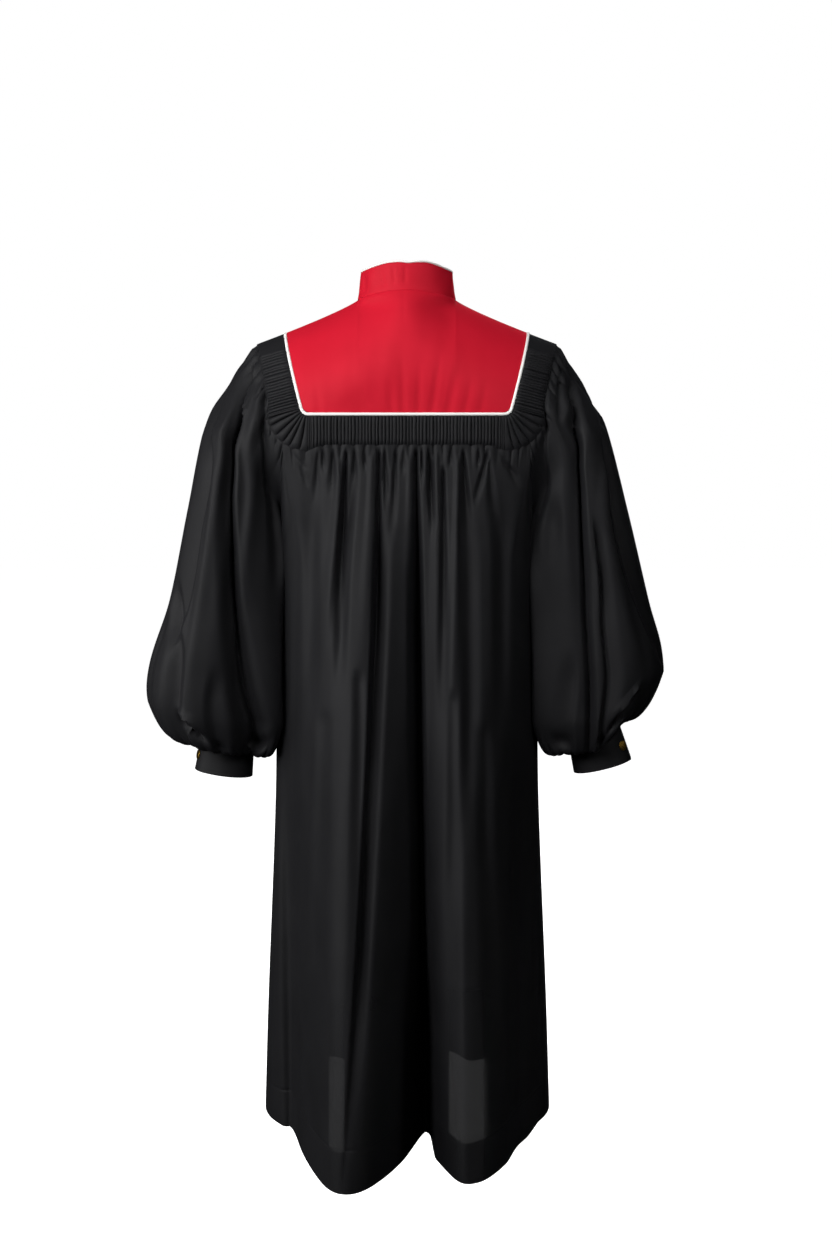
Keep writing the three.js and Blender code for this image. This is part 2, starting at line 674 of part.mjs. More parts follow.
function addPiping() {
  const back = pipingPath(0.5, 2 * outlineLength - 0.5, 64, 1);
  sew("piping_back", "white", cord(back, pipingRadius, 64));
  for (const [name, sign] of [["left", 1], ["right", -1]]) {
    const front = pipingPath(0.5, outlineLength - 0.3, 36, -1);
    front.forEach((point) => (point.x *= sign));
    sew("piping_front_" + name, "white", cord(front, pipingRadius, 32));
  }
}

function addBand() {
  const crests = (list) => {
    const heights = new Map();
    list.forEach((distance, i) => heights.set(distance, i % 2 && i > 1 ? band.height : 0));
    return heights;
  };
  const leftHalf = fluteDistances(backFlutes);
  const rightHalf = leftHalf.slice(0, -1).reverse().map((distance) => 2 * outlineLength - distance);
  const backCrests = crests(leftHalf);
  leftHalf.forEach((distance) => backCrests.set(2 * outlineLength - distance, backCrests.get(distance)));
  const back = (u, v) => bandPoint(u, v, 1);
  [back.high, back.facing] = [2 * outlineLength, -1];
  back.onSideSeam = (u) => u === 0 || u === 2 * outlineLength;
  const raisedBack = (u) => backCrests.get(u);
  const backColumns = [...leftHalf, ...rightHalf];
  sew("fluting_back", "black", cloth(back, backColumns, [0, 1], { raised: raisedBack }));
  const frontColumns = fluteDistances(frontFlutes);
  const frontCrests = crests(frontColumns);
  for (const [name, sign] of [["left", 1], ["right", -1]]) {
    const front = (u, v) => {
      const point = bandPoint(Math.min(u, outlineLength - gap / 2), v, -1);
      point.x *= sign;
      return point;
    };
    front.high = outlineLength;
    front.facing = sign;
    front.onSideSeam = (u) => u === 0;
    const raised = (u) => frontCrests.get(u);
    sew("fluting_front_" + name, "black", cloth(front, frontColumns, [0, 1], { raised }));
  }
}

// Columns of a panel: two for each gather along the band, and a few down the armhole.
function panelColumns(count, armholeColumns) {
  const list = [];
  for (let i = 0; i <= count; i++) list.push((armholeShare * i) / count);
  for (let i = 1; i <= armholeColumns; i++)
    list.push(mix(armholeShare, 1, i / armholeColumns));
  return list;
}

function addPanels() {
  const rows = [0, 0.014, 0.05, 0.1, 0.18, 0.3, 0.44, 0.6, 0.76, 0.89, 1];
  const halfColumns = panelColumns(backGathers, 6);
  const columns = [...halfColumns.slice(1).reverse().map((u) => -u), ...halfColumns];
  const back = (u, v) => panelPoint(u, v, 1, backGathers / 2);
  [back.low, back.high, back.facing] = [-1, 1, -1];
  back.onSideSeam = (u) => Math.abs(u) === 1;
  back.onGatherSeam = (u, v) => v === 0 && Math.abs(u) < armholeShare;
  sew("back", "black", cloth(back, columns, rows));
  for (const [name, sign] of [["left", 1], ["right", -1]]) {
    const front = (u, v) => {
      const point = panelPoint(sign * Math.max(u, 1e-6), v, -1, frontGathers);
      point.x += sign * (gap / 2) * (1 - u);
      return point;
    };
    front.facing = sign;
    front.onSideSeam = (u) => u === 1;
    front.onGatherSeam = (u, v) => v === 0 && u < armholeShare;
    const frontColumns = panelColumns(2 * frontGathers, 5);
    sew("front_" + name, "black", cloth(front, frontColumns, rows));
  }
}

function addSleeves() {
  const falls = [0, 0.02, 0.08, 0.18, 0.34, 0.5, 0.64, sleeveFall];
  const unders = [0.25, 0.5, 0.72, 0.88, 1].map((share) => mix(sleeveFall, 1, share));
  for (const [name, sleeve] of [["left", leftSleeve], ["right", rightSleeve]]) {
    const around = steps(2 * sleeveGathers.count).slice(0, -1);
    const shell = (u, v) => sleevePoint(sleeve, u, v);
    [shell.low, shell.high, shell.facing] = [-1, 2, sleeve.side];
    sew("sleeve_" + name, "black", cloth(shell, around, [...falls, ...unders], { ring: true }));
    const strip = (u, v) => cuffPoint(sleeve, u, v);
    strip.facing = sleeve.side;
    sew("cuff_" + name, "black", cloth(strip, steps(30), [0, 1]));
    addButton(name, sleeve, strip);
  }
}

// Domed button with a rolled rim and a shallow groove inside it, lying on the lap of the cuff.
function addButton(name, sleeve, strip) {
  const { radius, thick, rim, dome, dip } = button;
  const profile = [
    [0, 0],
    [radius * 0.8, 0],
    [radius, thick * 0.6],
    [radius * 0.96, rim],
    [radius * 0.86, rim + 0.3],
    [radius * 0.74, dip],
    [radius * 0.5, mix(dip, dome, 0.72)],
    [radius * 0.25, mix(dip, dome, 0.94)],
    [0, dome],
  ].map(([x, y]) => new THREE.Vector2(x, y));
  const share = 1 - (lap.turn * lap.centre) / (2 * Math.PI + lap.turn);
  const seat = strip(share, sleeve.button.height);
  const direction = outward(strip, share, sleeve.button.height);
  const mesh = sew("button_" + name, "gold", new THREE.LatheGeometry(profile, button.segments));
  mesh.quaternion.setFromUnitVectors(new THREE.Vector3(0, 1, 0), direction);
  mesh.position.copy(seat.addScaledVector(direction, half + gap));
}

addCollar();
addYoke();
addPiping();
addBand();
addPanels();
addSleeves();

export default robe;
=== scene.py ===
# Choir robe in the shape it takes when worn, seen from behind: red yoke and stand collar with white
# piping, a fluted black band round the yoke, gathered back and fronts, bishop sleeves on cuffs.
# Sizes and places are in millimetres and become metres when a mesh is made. +X is the wearer's left,
# +Y is behind the wearer, +Z is up, and the origin is the middle of the neck.
import math

import bmesh
import bpy
import numpy as np
from mathutils import Matrix, Vector


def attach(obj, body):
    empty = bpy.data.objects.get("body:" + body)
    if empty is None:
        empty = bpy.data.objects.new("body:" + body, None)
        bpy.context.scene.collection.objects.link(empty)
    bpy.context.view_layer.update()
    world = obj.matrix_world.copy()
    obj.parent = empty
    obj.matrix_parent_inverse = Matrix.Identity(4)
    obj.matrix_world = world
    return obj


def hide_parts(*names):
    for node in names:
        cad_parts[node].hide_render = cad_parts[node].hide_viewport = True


MM = 0.001

# Neck, shoulders and chest
NECK_HALF = 67
NECK_BACK = {"depth": 60, "rise": 11}
NECK_FRONT = {"depth": 62, "rise": -26}
NECK_SIDE = 2
SHOULDER = {"drop": 47, "reach": 104, "bow": 0.85, "roll": 130}
CHEST = {"half": 236, "back": 122, "front": 108, "square": 3}
CHEST_ROUNDING = {"middle": 0.9, "side": 0.62}
COLLAR = {"height": 35, "lean": 3.5, "lift": 1.1, "wall": 2.2, "opening": math.radians(0.35)}
COLLAR_PIPING = 1.5
# Rises and dips of the collar's top edge behind. Columns: x, reach and height.
COLLAR_EDGE = [(-30, 24, 2.0), (26, 30, 1.0), (-2, 12, -1.0)]
# Creases of the collar. Columns: share of the way round from the front, lean, reach and depth.
COLLAR_CREASES = [
    (0.335, -0.02, 0.022, -1.7),
    (0.385, -0.03, 0.035, 1.5),
    (0.430, -0.03, 0.016, -1.3),
    (0.462, -0.01, 0.010, -0.9),
    (0.495, 0.00, 0.012, -0.8),
    (0.660, 0.05, 0.045, 1.1),
    (0.700, 0.05, 0.030, -0.9),
]

# Yoke, piping and fluted band
YOKE = {"top_x": 171, "bottom_x": 140.5, "bottom_z": -157, "corner": 10}
# Soft shading folds of the back yoke. Columns: x at the lower edge, lean, height, reach and depth.
YOKE_FOLDS = [
    (118, 4, 60, 9, 0.8),
    (60, 6, 50, 14, 0.5),
    (20, 4, 66, 9, 0.8),
    (4, 2, 90, 8, 0.9),
    (-16, -2, 80, 8, 0.9),
    (-34, -14, 100, 9, 1.1),
    (-56, -18, 86, 10, 1.1),
    (-78, -14, 64, 9, 0.9),
    (-100, -10, 56, 9, 0.7),
]
# Short pinched crease under the collar, a little to one side of the middle
YOKE_PINCH = {
    "x": 4, "reach": 3.2, "depth": 0.9, "top": 14, "soft_top": 6, "bottom": -42, "soft_bottom": 20,
}
# Radius of the piping, and how far from its middle the yoke and the band start
PIPING = 2.2
BESIDE = 2.2
BAND = {"width": 41, "corner_bulge": 9, "corner_spread": 18, "corner_reach": 4, "plain": 24}
FLUTE = {"height": 3.4, "least": 0.75, "most": 1.2, "squareness": 0.42, "jitter": 0.14, "lean": 0.5}
BAND_ROWS = (-0.04, 0, 0.03, 0.08, 0.2, 0.4, 0.6, 0.8, 0.92, 0.97, 1, 1.04)
BAND_TURNING = 1.6
BACK_FLUTES = {"side": 20, "corner": 10, "bottom": 28}
FRONT_FLUTES = {"side": 16, "corner": 9, "bottom": 22}

# Back and fronts
GATHER_Z = -200
HEM_Z = -1194
HEM_DEPTH = 56
HEM_GAP = 2.0
HEM_ROWS = 10
UNDERARM = {"x": 178, "z": -292}
ARMHOLE_SHARE = 0.645
ARMHOLE_TURN = math.radians(58)
EASE_LENGTH = 190

BODY = [
    {"z": -200, "half": 182, "back": 122, "front": 108, "centre": 0, "square": 3.0},
    {"z": -290, "half": 178, "back": 125, "front": 114, "centre": 0, "square": 2.8},
    {"z": -430, "half": 183, "back": 126, "front": 120, "centre": -2, "square": 2.6},
    {"z": -567, "half": 188, "back": 127, "front": 130, "centre": -5, "square": 2.4},
    {"z": -718, "half": 192, "back": 131, "front": 144, "centre": -9, "square": 2.3},
    {"z": -1022, "half": 207, "back": 146, "front": 170, "centre": -20, "square": 2.1},
    {"z": -1194, "half": 214, "back": 156, "front": 183, "centre": -26, "square": 2.0},
]

# Flares that start at the gathered seam and are deepest at the hem. Columns: x at the seam, halfway and
# at the hem; reach to the wearer's left and right; depth towards the back, so that a valley behind and
# a ridge in front are minus.
BACK_FLARES = [
    (64, 76, 88, 84, 106, 158),
    (-68, -72, -88, 62, 106, 128),
]
FRONT_FLARES = [
    (44, 46, 54, 44, 40, -34),
    (116, 124, 134, 44, 44, -42),
    (-48, -50, -62, 42, 46, -38),
    (-120, -128, -140, 44, 42, -36),
]

# Long folds that fade at both ends. Columns: x at the seam, halfway and at the hem; height at the start
# and end; reach to the wearer's left and right; depth towards the back.
BACK_FOLDS = [
    (78, 100, 112, -205, -560, 13, 13, -12),
    (34, 46, 84, -205, -1230, 8, 20, -18),
    (-16, -18, -33, -205, -1500, 20, 8, -31),
    (-30, -32, -33, -860, -1700, 44, 8, -40),
    (-38, -36, -34, -202, -330, 8, 8, -7),
    (-84, -86, -92, -240, -760, 16, 18, -9),
    (-128, -132, -138, -230, -620, 16, 16, -7),
    (128, 134, 140, -230, -600, 16, 16, -7),
    (172, 172, 166, -560, -1600, 18, 20, -14),
    (-168, -164, -156, -560, -1600, 18, 22, -12),
]
FRONT_FOLDS = [
    (76, 82, 90, -205, -1400, 14, 14, 11),
    (-84, -88, -98, -205, -1300, 14, 14, 10),
    (20, 20, 18, -230, -900, 12, 12, 6),
    (-20, -22, -22, -230, -1000, 12, 12, 7),
]

# Creases that start at the gathered seam, placed one by one and uneven, as the gathers let them fall.
# Columns: x at the start, middle and end; distance below the seam at the start and end; half width
# at the start and end; depth towards the back.
BACK_CREASES = [
    (156, 146, 130, 4, 30, 7, 5, -3.5),
    (148, 140, 132, 14, 54, 8, 6, -3),
    (120, 121, 123, 2, 88, 4, 10, -4),
    (112, 113, 112, 1, 46, 3.5, 7, -4),
    (99, 100, 102, 1, 78, 4, 9, -5),
    (91, 98, 122, 14, 360, 7, 18, 3.5),
    (81, 87, 106, 3, 300, 5, 12, -9),
    (70, 70, 69, 1, 62, 3.5, 7, -5),
    (58, 57, 55, 1, 40, 3, 5, -4),
    (47, 50, 58, 8, 300, 6, 14, 3),
    (37, 38, 44, 2, 330, 5, 10, -9),
    (29, 28, 25, 1, 104, 3.5, 8, -6),
    (14, 16, 23, 2, 150, 4, 9, -5.5),
    (3, 3, 5, 1, 46, 3, 6, -4),
    (-4, -5, -6, 10, 220, 6, 10, 3),
    (-13, -15, -17, 2, 420, 5.5, 11, -10),
    (-21, -21, -21, 1, 64, 3, 5, -5),
    (-30, -31, -32, 1, 104, 4, 8, -6.5),
    (-40, -41, -38, 8, 380, 6, 12, 3.5),
    (-50, -53, -47, 26, 420, 5, 12, -7),
    (-60, -60, -58, 1, 36, 3, 5, -4),
    (-69, -67, -56, 12, 480, 6, 12, 4.5),
    (-77, -80, -86, 3, 140, 4.5, 11, -8.5),
    (-98, -98, -97, 1, 38, 3, 5, -4.5),
    (-112, -101, -89, 3, 94, 4, 8, -5.5),
    (-113, -116, -122, 14, 134, 5, 13, -5),
    (-124, -138, -158, 3, 46, 4, 8, -3.5),
    (-136, -146, -160, 12, 64, 5, 9, -3),
    (64, 62, 70, 300, 900, 12, 20, -5),
    (112, 120, 140, 360, 990, 16, 24, -5),
    (-62, -66, -62, 330, 980, 12, 20, -5),
    (-104, -114, -124, 380, 990, 16, 22, -5),
]
FRONT_CREASES = [
    (150, 142, 132, 6, 44, 7, 6, 3.5),
    (116, 118, 122, 2, 90, 4, 10, 4),
    (98, 99, 100, 1, 70, 4, 8, 5),
    (80, 84, 92, 3, 300, 5, 12, 8),
    (66, 66, 67, 1, 60, 3.5, 7, 5),
    (48, 50, 54, 8, 320, 6, 13, -3),
    (36, 37, 40, 2, 300, 5, 10, 8),
    (24, 24, 22, 1, 84, 3.5, 8, 5),
    (12, 13, 14, 2, 140, 4, 8, 5),
    (-10, -11, -12, 2, 120, 4, 8, 5),
    (-26, -27, -30, 1, 90, 3.5, 8, 5),
    (-40, -43, -48, 2, 340, 5, 11, 8),
    (-55, -57, -62, 8, 330, 6, 13, -3),
    (-68, -69, -70, 1, 64, 3.5, 7, 5),
    (-84, -88, -94, 3, 280, 5, 12, 7),
    (-102, -103, -106, 1, 78, 4, 9, 5),
    (-122, -124, -128, 2, 96, 4, 10, 4),
    (-150, -143, -134, 8, 50, 7, 6, 3.5),
]

# Where the back hangs as a single layer, between the overlaps of its folds, and how much light each
# face of the shell lets through there. Columns: left and right edge, softness of each, top and bottom
# edge, light let through.
SINGLE_LAYERS = [
    (107, 80, 3, 5, -935, -1300, 0.075),
    (56, 26, 9, 3, -925, -966, 0.07),
    (-56, -118, 3, 16, -925, -1300, 0.085),
]
CREASE = {"power": 2.4, "widen": 1.5, "start": 14, "end": 1.8}
GATHERS = {"depth": 1.7, "fade": 34, "back": 40, "front": 40}
PUCKER_POWER = 0.7
HEM_STITCHES = {"depth": 0.7, "reach": 3, "rows": (-3, -1.5, 0, 1.5, 3)}

# Sleeves: outer and inner edges seen from behind, and depth behind and in front of the arm.
# Columns of the folds: places along the fold, each a height and a turn round the arm in degrees from
# the outside and round behind; reach towards the outside and towards the inside, in degrees; depth.
# Columns of the dents, where the puff folds over on itself above the cuff: turn, share of the way
# down, slope, half width in degrees, half height as a share, depth.
LEFT_SLEEVE = {
    "side": 1,
    "sections": [
        {"z": -60, "outer": 216, "inner": 176, "back": 60, "front": 58},
        {"z": -110, "outer": 254, "inner": 177, "back": 80, "front": 74},
        {"z": -166, "outer": 283, "inner": 178, "back": 97, "front": 88},
        {"z": -292, "outer": 312, "inner": 181, "back": 104, "front": 95},
        {"z": -424, "outer": 341, "inner": 191, "back": 103, "front": 95},
        {"z": -515, "outer": 371, "inner": 194, "back": 107, "front": 98},
        {"z": -570, "outer": 374, "inner": 195, "back": 106, "front": 97},
        {"z": -640, "outer": 346, "inner": 197, "back": 92, "front": 84},
    ],
    "puff": {"outer": -624, "inner": -652, "step": 0},
    "cuff": {"x": 257, "y": 4, "top_half": 35, "end_half": 40, "top": -612, "end": -676, "tilt": 8},
    "button": {"angle": 12, "height": 0.66},
    "folds": [
        (((-70, 14), (-124, 41), (-165, 72), (-206, 88), (-274, 93), (-357, 102), (-469, 118),
          (-554, 127), (-700, 140)), 20, 8, -17),
        (((-80, 20), (-124, 43), (-165, 74), (-206, 89), (-274, 94), (-357, 103), (-469, 119),
          (-554, 128), (-700, 141)), 5, 4, -13),
        (((-120, 60), (-206, 104), (-357, 118), (-554, 142), (-700, 152)), 12, 20, 5),
        (((-90, 0), (-152, 26), (-206, 52), (-317, 55), (-414, 55), (-500, 46)), 36, 9, -17),
        (((-120, 11), (-152, 31), (-206, 57), (-317, 60), (-414, 60), (-500, 51)), 4, 5, 3),
        (((-200, 68), (-317, 72), (-440, 74), (-560, 84)), 10, 20, 4),
        (((-380, 24), (-444, 46), (-483, 62), (-539, 67), (-600, 62), (-700, 58)), 24, 8, -13),
        (((-90, 46), (-151, 89), (-196, 118), (-240, 133), (-331, 136), (-420, 138)), 8, 8, -7),
        (((-100, 48), (-152, 74), (-192, 93), (-250, 112)), 9, 8, -6),
        (((-64, 6), (-96, 26), (-130, 58), (-170, 84)), 6, 5, -5),
        (((-260, 150), (-420, 160), (-640, 168)), 14, 14, -5),
        (((-90, 250), (-300, 240), (-680, 226)), 14, 30, -13),
        (((-120, 310), (-350, 304), (-680, 296)), 12, 28, -11),
        (((-140, 200), (-520, 208)), 10, 10, -4),
        (((-90, 282), (-420, 262)), 9, 12, -5),
        (((-80, 335), (-420, 330)), 9, 9, -5),
        (((-500, 100), (-600, 98), (-740, 96)), 10, 14, -6),
        (((-430, 24), (-740, 30)), 10, 10, -6),
    ],
    "dents": [
        (76, 0.741, 0.0014, 18, 0.016, 7),
        (76, 0.765, 0.0014, 17, 0.018, -24),
        (100, 0.80, 0.0, 9, 0.03, -5),
        (132, 0.785, -0.001, 10, 0.03, -10),
    ],
}
RIGHT_SLEEVE = {
    "side": -1,
    "sections": [
        {"z": -60, "outer": 217, "inner": 176, "back": 60, "front": 58},
        {"z": -110, "outer": 250, "inner": 177, "back": 80, "front": 74},
        {"z": -166, "outer": 279, "inner": 178, "back": 97, "front": 88},
        {"z": -292, "outer": 314, "inner": 181, "back": 104, "front": 94},
        {"z": -424, "outer": 347, "inner": 191, "back": 103, "front": 94},
        {"z": -515, "outer": 371, "inner": 194, "back": 105, "front": 96},
        {"z": -570, "outer": 358, "inner": 195, "back": 101, "front": 94},
        {"z": -640, "outer": 322, "inner": 197, "back": 88, "front": 82},
    ],
    "puff": {"outer": -580, "inner": -650, "step": 0.7},
    "cuff": {"x": 268, "y": 8, "top_half": 37, "end_half": 42, "top": -604, "end": -666, "tilt": 15},
    "button": {"angle": 34, "height": 0.62},
    "folds": [
        (((-90, 4), (-142, 45), (-172, 74), (-217, 89), (-262, 93), (-383, 102), (-448, 106),
          (-524, 107), (-640, 96)), 8, 24, -15),
        (((-110, 22), (-142, 46), (-172, 75), (-217, 90), (-262, 94), (-383, 103), (-448, 107),
          (-524, 108), (-640, 97)), 4, 5, -10),
        (((-290, 81), (-377, 84), (-467, 91), (-537, 91), (-600, 88), (-700, 86)), 16, 6, -8),
        (((-340, 83), (-377, 85), (-467, 92), (-537, 92), (-600, 89), (-700, 87)), 5, 4, -4),
        (((-330, 94), (-450, 98), (-560, 98), (-700, 94)), 10, 10, -5),
        (((-110, 0), (-152, 9), (-182, 34), (-261, 48), (-317, 52), (-373, 50), (-423, 41),
          (-467, 33), (-540, 10)), 26, 9, -15),
        (((-150, 10), (-182, 35), (-261, 49), (-317, 53), (-373, 51), (-423, 42), (-467, 34)), 5, 4, -7),
        (((-200, 46), (-300, 66), (-400, 66), (-540, 60)), 12, 20, 4),
        (((-80, 18), (-106, 36), (-138, 67), (-168, 88), (-220, 100)), 7, 6, -6),
        (((-96, 60), (-138, 87), (-192, 122), (-275, 136), (-420, 140)), 8, 8, -7),
        (((-260, 124), (-420, 132), (-700, 140)), 20, 16, -9),
        (((-90, 250), (-350, 242), (-680, 232)), 14, 30, -12),
        (((-120, 316), (-350, 310), (-680, 300)), 12, 28, -11),
        (((-60, 14), (-260, 12)), 8, 7, -4.5),
        (((-140, 206), (-560, 210)), 10, 10, -4),
        (((-90, 284), (-440, 268)), 9, 12, -5),
        (((-80, 340), (-440, 334)), 9, 9, -5),
        (((-480, 122), (-740, 124)), 9, 12, -6),
        (((-460, 18), (-740, 22)), 9, 9, -5),
    ],
    "dents": [
        (70, 0.744, 0.0006, 17, 0.014, 6),
        (72, 0.768, 0.0006, 15, 0.02, -21),
        (90, 0.80, 0.0, 8, 0.04, -8),
        (128, 0.78, 0.0, 12, 0.03, -8),
    ],
}
SLEEVE_FOLD = {"narrow": 0.7, "start": 50, "end": 80, "sideways": 0.6}
SLEEVE_GATHERS = {"count": 19, "head": 2.8, "head_length": 24, "cuff": 3.0}

# The sleeve lies against the body, and its inner rear corner a little behind the body's side.
SLEEVE_LEAN = {"turn": 145, "reach": 30, "from": -215, "length": 150, "amount": 28}
SLEEVE_CROWDING = 0.5
SLEEVE_SQUARE = 0.84
SLEEVE_FALL = 0.74
SLEEVE_HOLD = {"outside": 120, "beside": 70}
BAND_SHARE = 8 / 13
PUFF = {
    "height": 56, "turn": 4, "sag": 18, "early": 0.25, "middle": 0.6, "clear": 8, "lift": 9,
    "step_from": 54, "step_over": 42, "outside_cuff": 0.5, "above_cuff": 1.3,
}
CUFF_DEPTH = 0.8
CUFF_WALL = 2.0
LAP = {"turn": math.radians(26), "centre": 0.6, "lift": 2.6}

# Gold button, and the steps of its face from the rim inwards. Columns: width of the step and rise.
BUTTON = {"radius": 7, "rim": 1.9, "edge": 0.45, "seat": 0.2}
BUTTON_STEPS = [(0.9, 0.35), (0.9, -0.9), (0.8, 0.9), (1.4, 0.7), (1.3, 0.35)]

# Shell thickness of the cloth: one layer of light polyester, drawn thick enough to have an edge
CLOTH_WALL = 1.2
YOKE_WALL = 1.4
BAND_WALL = 1.0

# How uneven the cloth hangs in each piece, in mm, and the range of its waves, in radians a millimetre
UNEVEN = {"collar": 0.5, "back_yoke": 0.35, "front_yoke": 0.6, "panel": 1.6, "sleeve": 1.3}
WAVE_ACROSS = (0.06, 0.24)
WAVE_ALONG = (0.004, 0.016)

# Columns and rows of the meshes. Panels and sleeves have finer rows over the top share of their fall.
FINE_TOP = 0.12
PANEL_GRID = {"band": 125, "armhole": 27, "top": 36, "rest": 100}
SLEEVE_GRID = {"round": 340, "top": 18, "rest": 62, "under": 34}
CUFF_GRID = {"round": 141, "down": 17}

# Cut of each piece as it lies flat: width and length; the size inside the seams, where that differs,
# which gives the weave its scale; how the cloth is held; and the area in square millimetres where the
# piece isn't a rectangle
CUTS = {
    "collar": {"flat": (406, 37), "held": "stretched"},
    "back_yoke": {"flat": (342, 196), "inside": (338, 190), "held": "draped", "area": 50000},
    "front_yoke": {"flat": (171, 196), "inside": (170, 190), "held": "draped", "area": 23000},
    "back_band": {"flat": (1150, 44), "inside": (1150, 42), "held": "gathered"},
    "front_band": {"flat": (560, 44), "inside": (560, 42), "held": "gathered"},
    "back": {"flat": (980, 1060), "held": "hung", "area": 800000},
    "front": {"flat": (420, 1060), "held": "hung", "area": 340000},
    "sleeve": {"flat": (640, 680), "held": "gathered", "area": 330000},
    "cuff": {"flat": (236, 66), "held": "stretched"},
}

# Places inside the robe that the pieces face away from
COLLAR_CENTRE = (0, 0, 20)
YOKE_CENTRE = (0, 0, -80)
BAND_CENTRE = (0, 0, -120)
PANEL_CENTRE = (0, 0, -700)
SLEEVE_CENTRE = {"x": 265, "z": -380}
SIDES = (("left", 1), ("right", -1))

# Spacing at which the weave is drawn, and the scale of a wave texture with one band a millimetre
WEAVE = 0.9
PIPING_TWIST = 1.6
ONE_BAND = 0.314

# Camera, at the photo's height, distance and tilt
CAMERA = {"x": -13, "y": 2450, "z": -138, "pitch": 7.46, "lens": 49.36, "sensor": 36}
FLOOR_Z = -1560
FLOOR_SIDE = 24000

# Softboxes. Columns: name; place, target and size in metres; power in watts; spread in degrees
SOFTBOXES = [
    ("key_softbox", (1.7, 2.2, 0.9), (0.05, 0.1, -0.14), 1.3, 14.6, 75),
    ("shoulder_softbox", (-1.3, 2.3, 0.9), (-0.12, 0.1, -0.12), 0.8, 1.1, 28),
    ("overhead_softbox", (0.5, 1.0, 2.7), (0.0, 0.1, -0.3), 2.4, 17, 150),
    ("left_softbox", (2.8, 1.0, 0.0), (0.2, 0.0, -0.6), 1.6, 54, 180),
    ("right_softbox", (-3.0, 0.5, 0.7), (-0.2, 0.0, -0.3), 1.8, 1.4, 180),
    ("low_softbox", (-2.4, 1.8, -1.3), (-0.18, 0.1, -1.1), 0.6, 0.25, 20),
    ("front_softbox", (-0.9, -2.9, 1.2), (0, 0, -0.4), 1.4, 150, 180),
]


def ease(share):
    t = np.clip(share, 0, 1)
    return t * t * (3 - 2 * t)


def mix(a, b, share):
    return a + (b - a) * share


def hump(offset, reach, power=2):
    inside = np.cos(np.clip(offset / reach, -1, 1) * math.pi / 2)
    return np.maximum(inside, 0) ** power


def bezier(controls, share):
    row = [np.asarray(value, float) + 0 * share for value in controls]
    while len(row) > 1:
        row = [mix(a, b, share) for a, b in zip(row, row[1:])]
    return row[0]


def curve_at(heights, values, slopes, z):
    """Smooth curve through values at falling heights, level before the first and after the last."""
    i = np.clip(np.searchsorted(-heights, -z, side="right") - 1, 0, len(values) - 2)
    span = heights[i + 1] - heights[i]
    t = np.clip((z - heights[i]) / span, 0, 1)
    start = (2 * t**3 - 3 * t**2 + 1) * values[i] + (t**3 - 2 * t**2 + t) * span * slopes[i]
    return start + (3 * t**2 - 2 * t**3) * values[i + 1] + (t**3 - t**2) * span * slopes[i + 1]


def through(places, z):
    """The second value of each place at height z, where the first is the place's height."""
    heights, values = np.array(places, float).T
    return curve_at(heights, values, np.gradient(values, heights), z)


def column(table, name, z):
    """One column of a table at height z, on a smooth curve through its rows."""
    heights = np.array([row["z"] for row in table], float)
    values = np.array([row[name] for row in table], float)
    slopes = np.empty_like(values)
    slopes[1:-1] = (values[2:] - values[:-2]) / (heights[2:] - heights[:-2])
    slopes[0] = (values[1] - values[0]) / (heights[1] - heights[0])
    slopes[-1] = (values[-1] - values[-2]) / (heights[-1] - heights[-2])
    return curve_at(heights, values, slopes, z)


def turn_between(degrees, start):
    """Turn from start, between -180 and 180 degrees."""
    return (degrees - start + 180) % 360 - 180


def puckers(angle):
    """Round ridges with narrow valleys between them, from -1 to 1."""
    return 2 * np.abs(np.sin(angle)) ** PUCKER_POWER - 1


def swings(rows, along):
    """Sum of sine waves. Columns: height, rate and start."""
    return sum(height * np.sin(rate * along + start) for height, rate, start in rows)


def finer_at_top(top, rest):
    """Shares of the way down, closer together over the top."""
    return np.concatenate([np.linspace(0, FINE_TOP, top), np.linspace(FINE_TOP, 1, rest)[1:]])


def xyz(x, y, z):
    return np.stack(np.broadcast_arrays(x, y, z), axis=-1).astype(float)


def grid(columns, rows):
    """Values of both directions of a grid, as a column and a row that broadcast."""
    return np.asarray(columns, float)[:, None], np.asarray(rows, float)[None, :]


def waves(u, v, seed, rows=9):
    """Small soft unevenness of hanging cloth, in mm: long in v and short in u."""
    draw = np.random.default_rng(seed)
    total = 0
    for _ in range(rows):
        across = draw.uniform(*WAVE_ACROSS)
        along = draw.uniform(*WAVE_ALONG)
        total = total + np.sin(across * u + along * v + draw.uniform(0, 6.3) + 1.5 * np.sin(0.01 * v))
    return total / rows


# The shoulders and the yoke's outline. side is 1 behind and -1 in front.


def neck_of(side):
    return NECK_BACK if side > 0 else NECK_FRONT


def top_edge(x, side):
    """Height of the collar seam, and past it of the shoulder line."""
    w = np.abs(x)
    seam = NECK_SIDE + neck_of(side)["rise"] * (1 - (w / NECK_HALF) ** 2)
    run = np.maximum(w - NECK_HALF, 0) / SHOULDER["reach"]
    return np.where(w < NECK_HALF, seam, NECK_SIDE - SHOULDER["drop"] * run ** SHOULDER["bow"])


def chest_point(x, z, side):
    w = np.abs(x)
    to_side = np.clip(w / NECK_HALF, 0, 1)
    fall = np.clip((top_edge(x, side) - z) / SHOULDER["roll"], 0, 1)
    seam = neck_of(side)["depth"] * (1 - to_side**2) ** mix(0.5, 2, ease(5 * fall))
    softly = ease(w / (1.5 * NECK_HALF))
    rounding = (1 - (1 - fall) ** 2) ** mix(CHEST_ROUNDING["middle"], CHEST_ROUNDING["side"], softly)
    within = np.maximum(0, 1 - (w / CHEST["half"]) ** CHEST["square"])
    full = CHEST["back" if side > 0 else "front"] * within ** (1 / CHEST["square"])
    return xyz(x, side * (seam + (full - seam) * rounding), z)


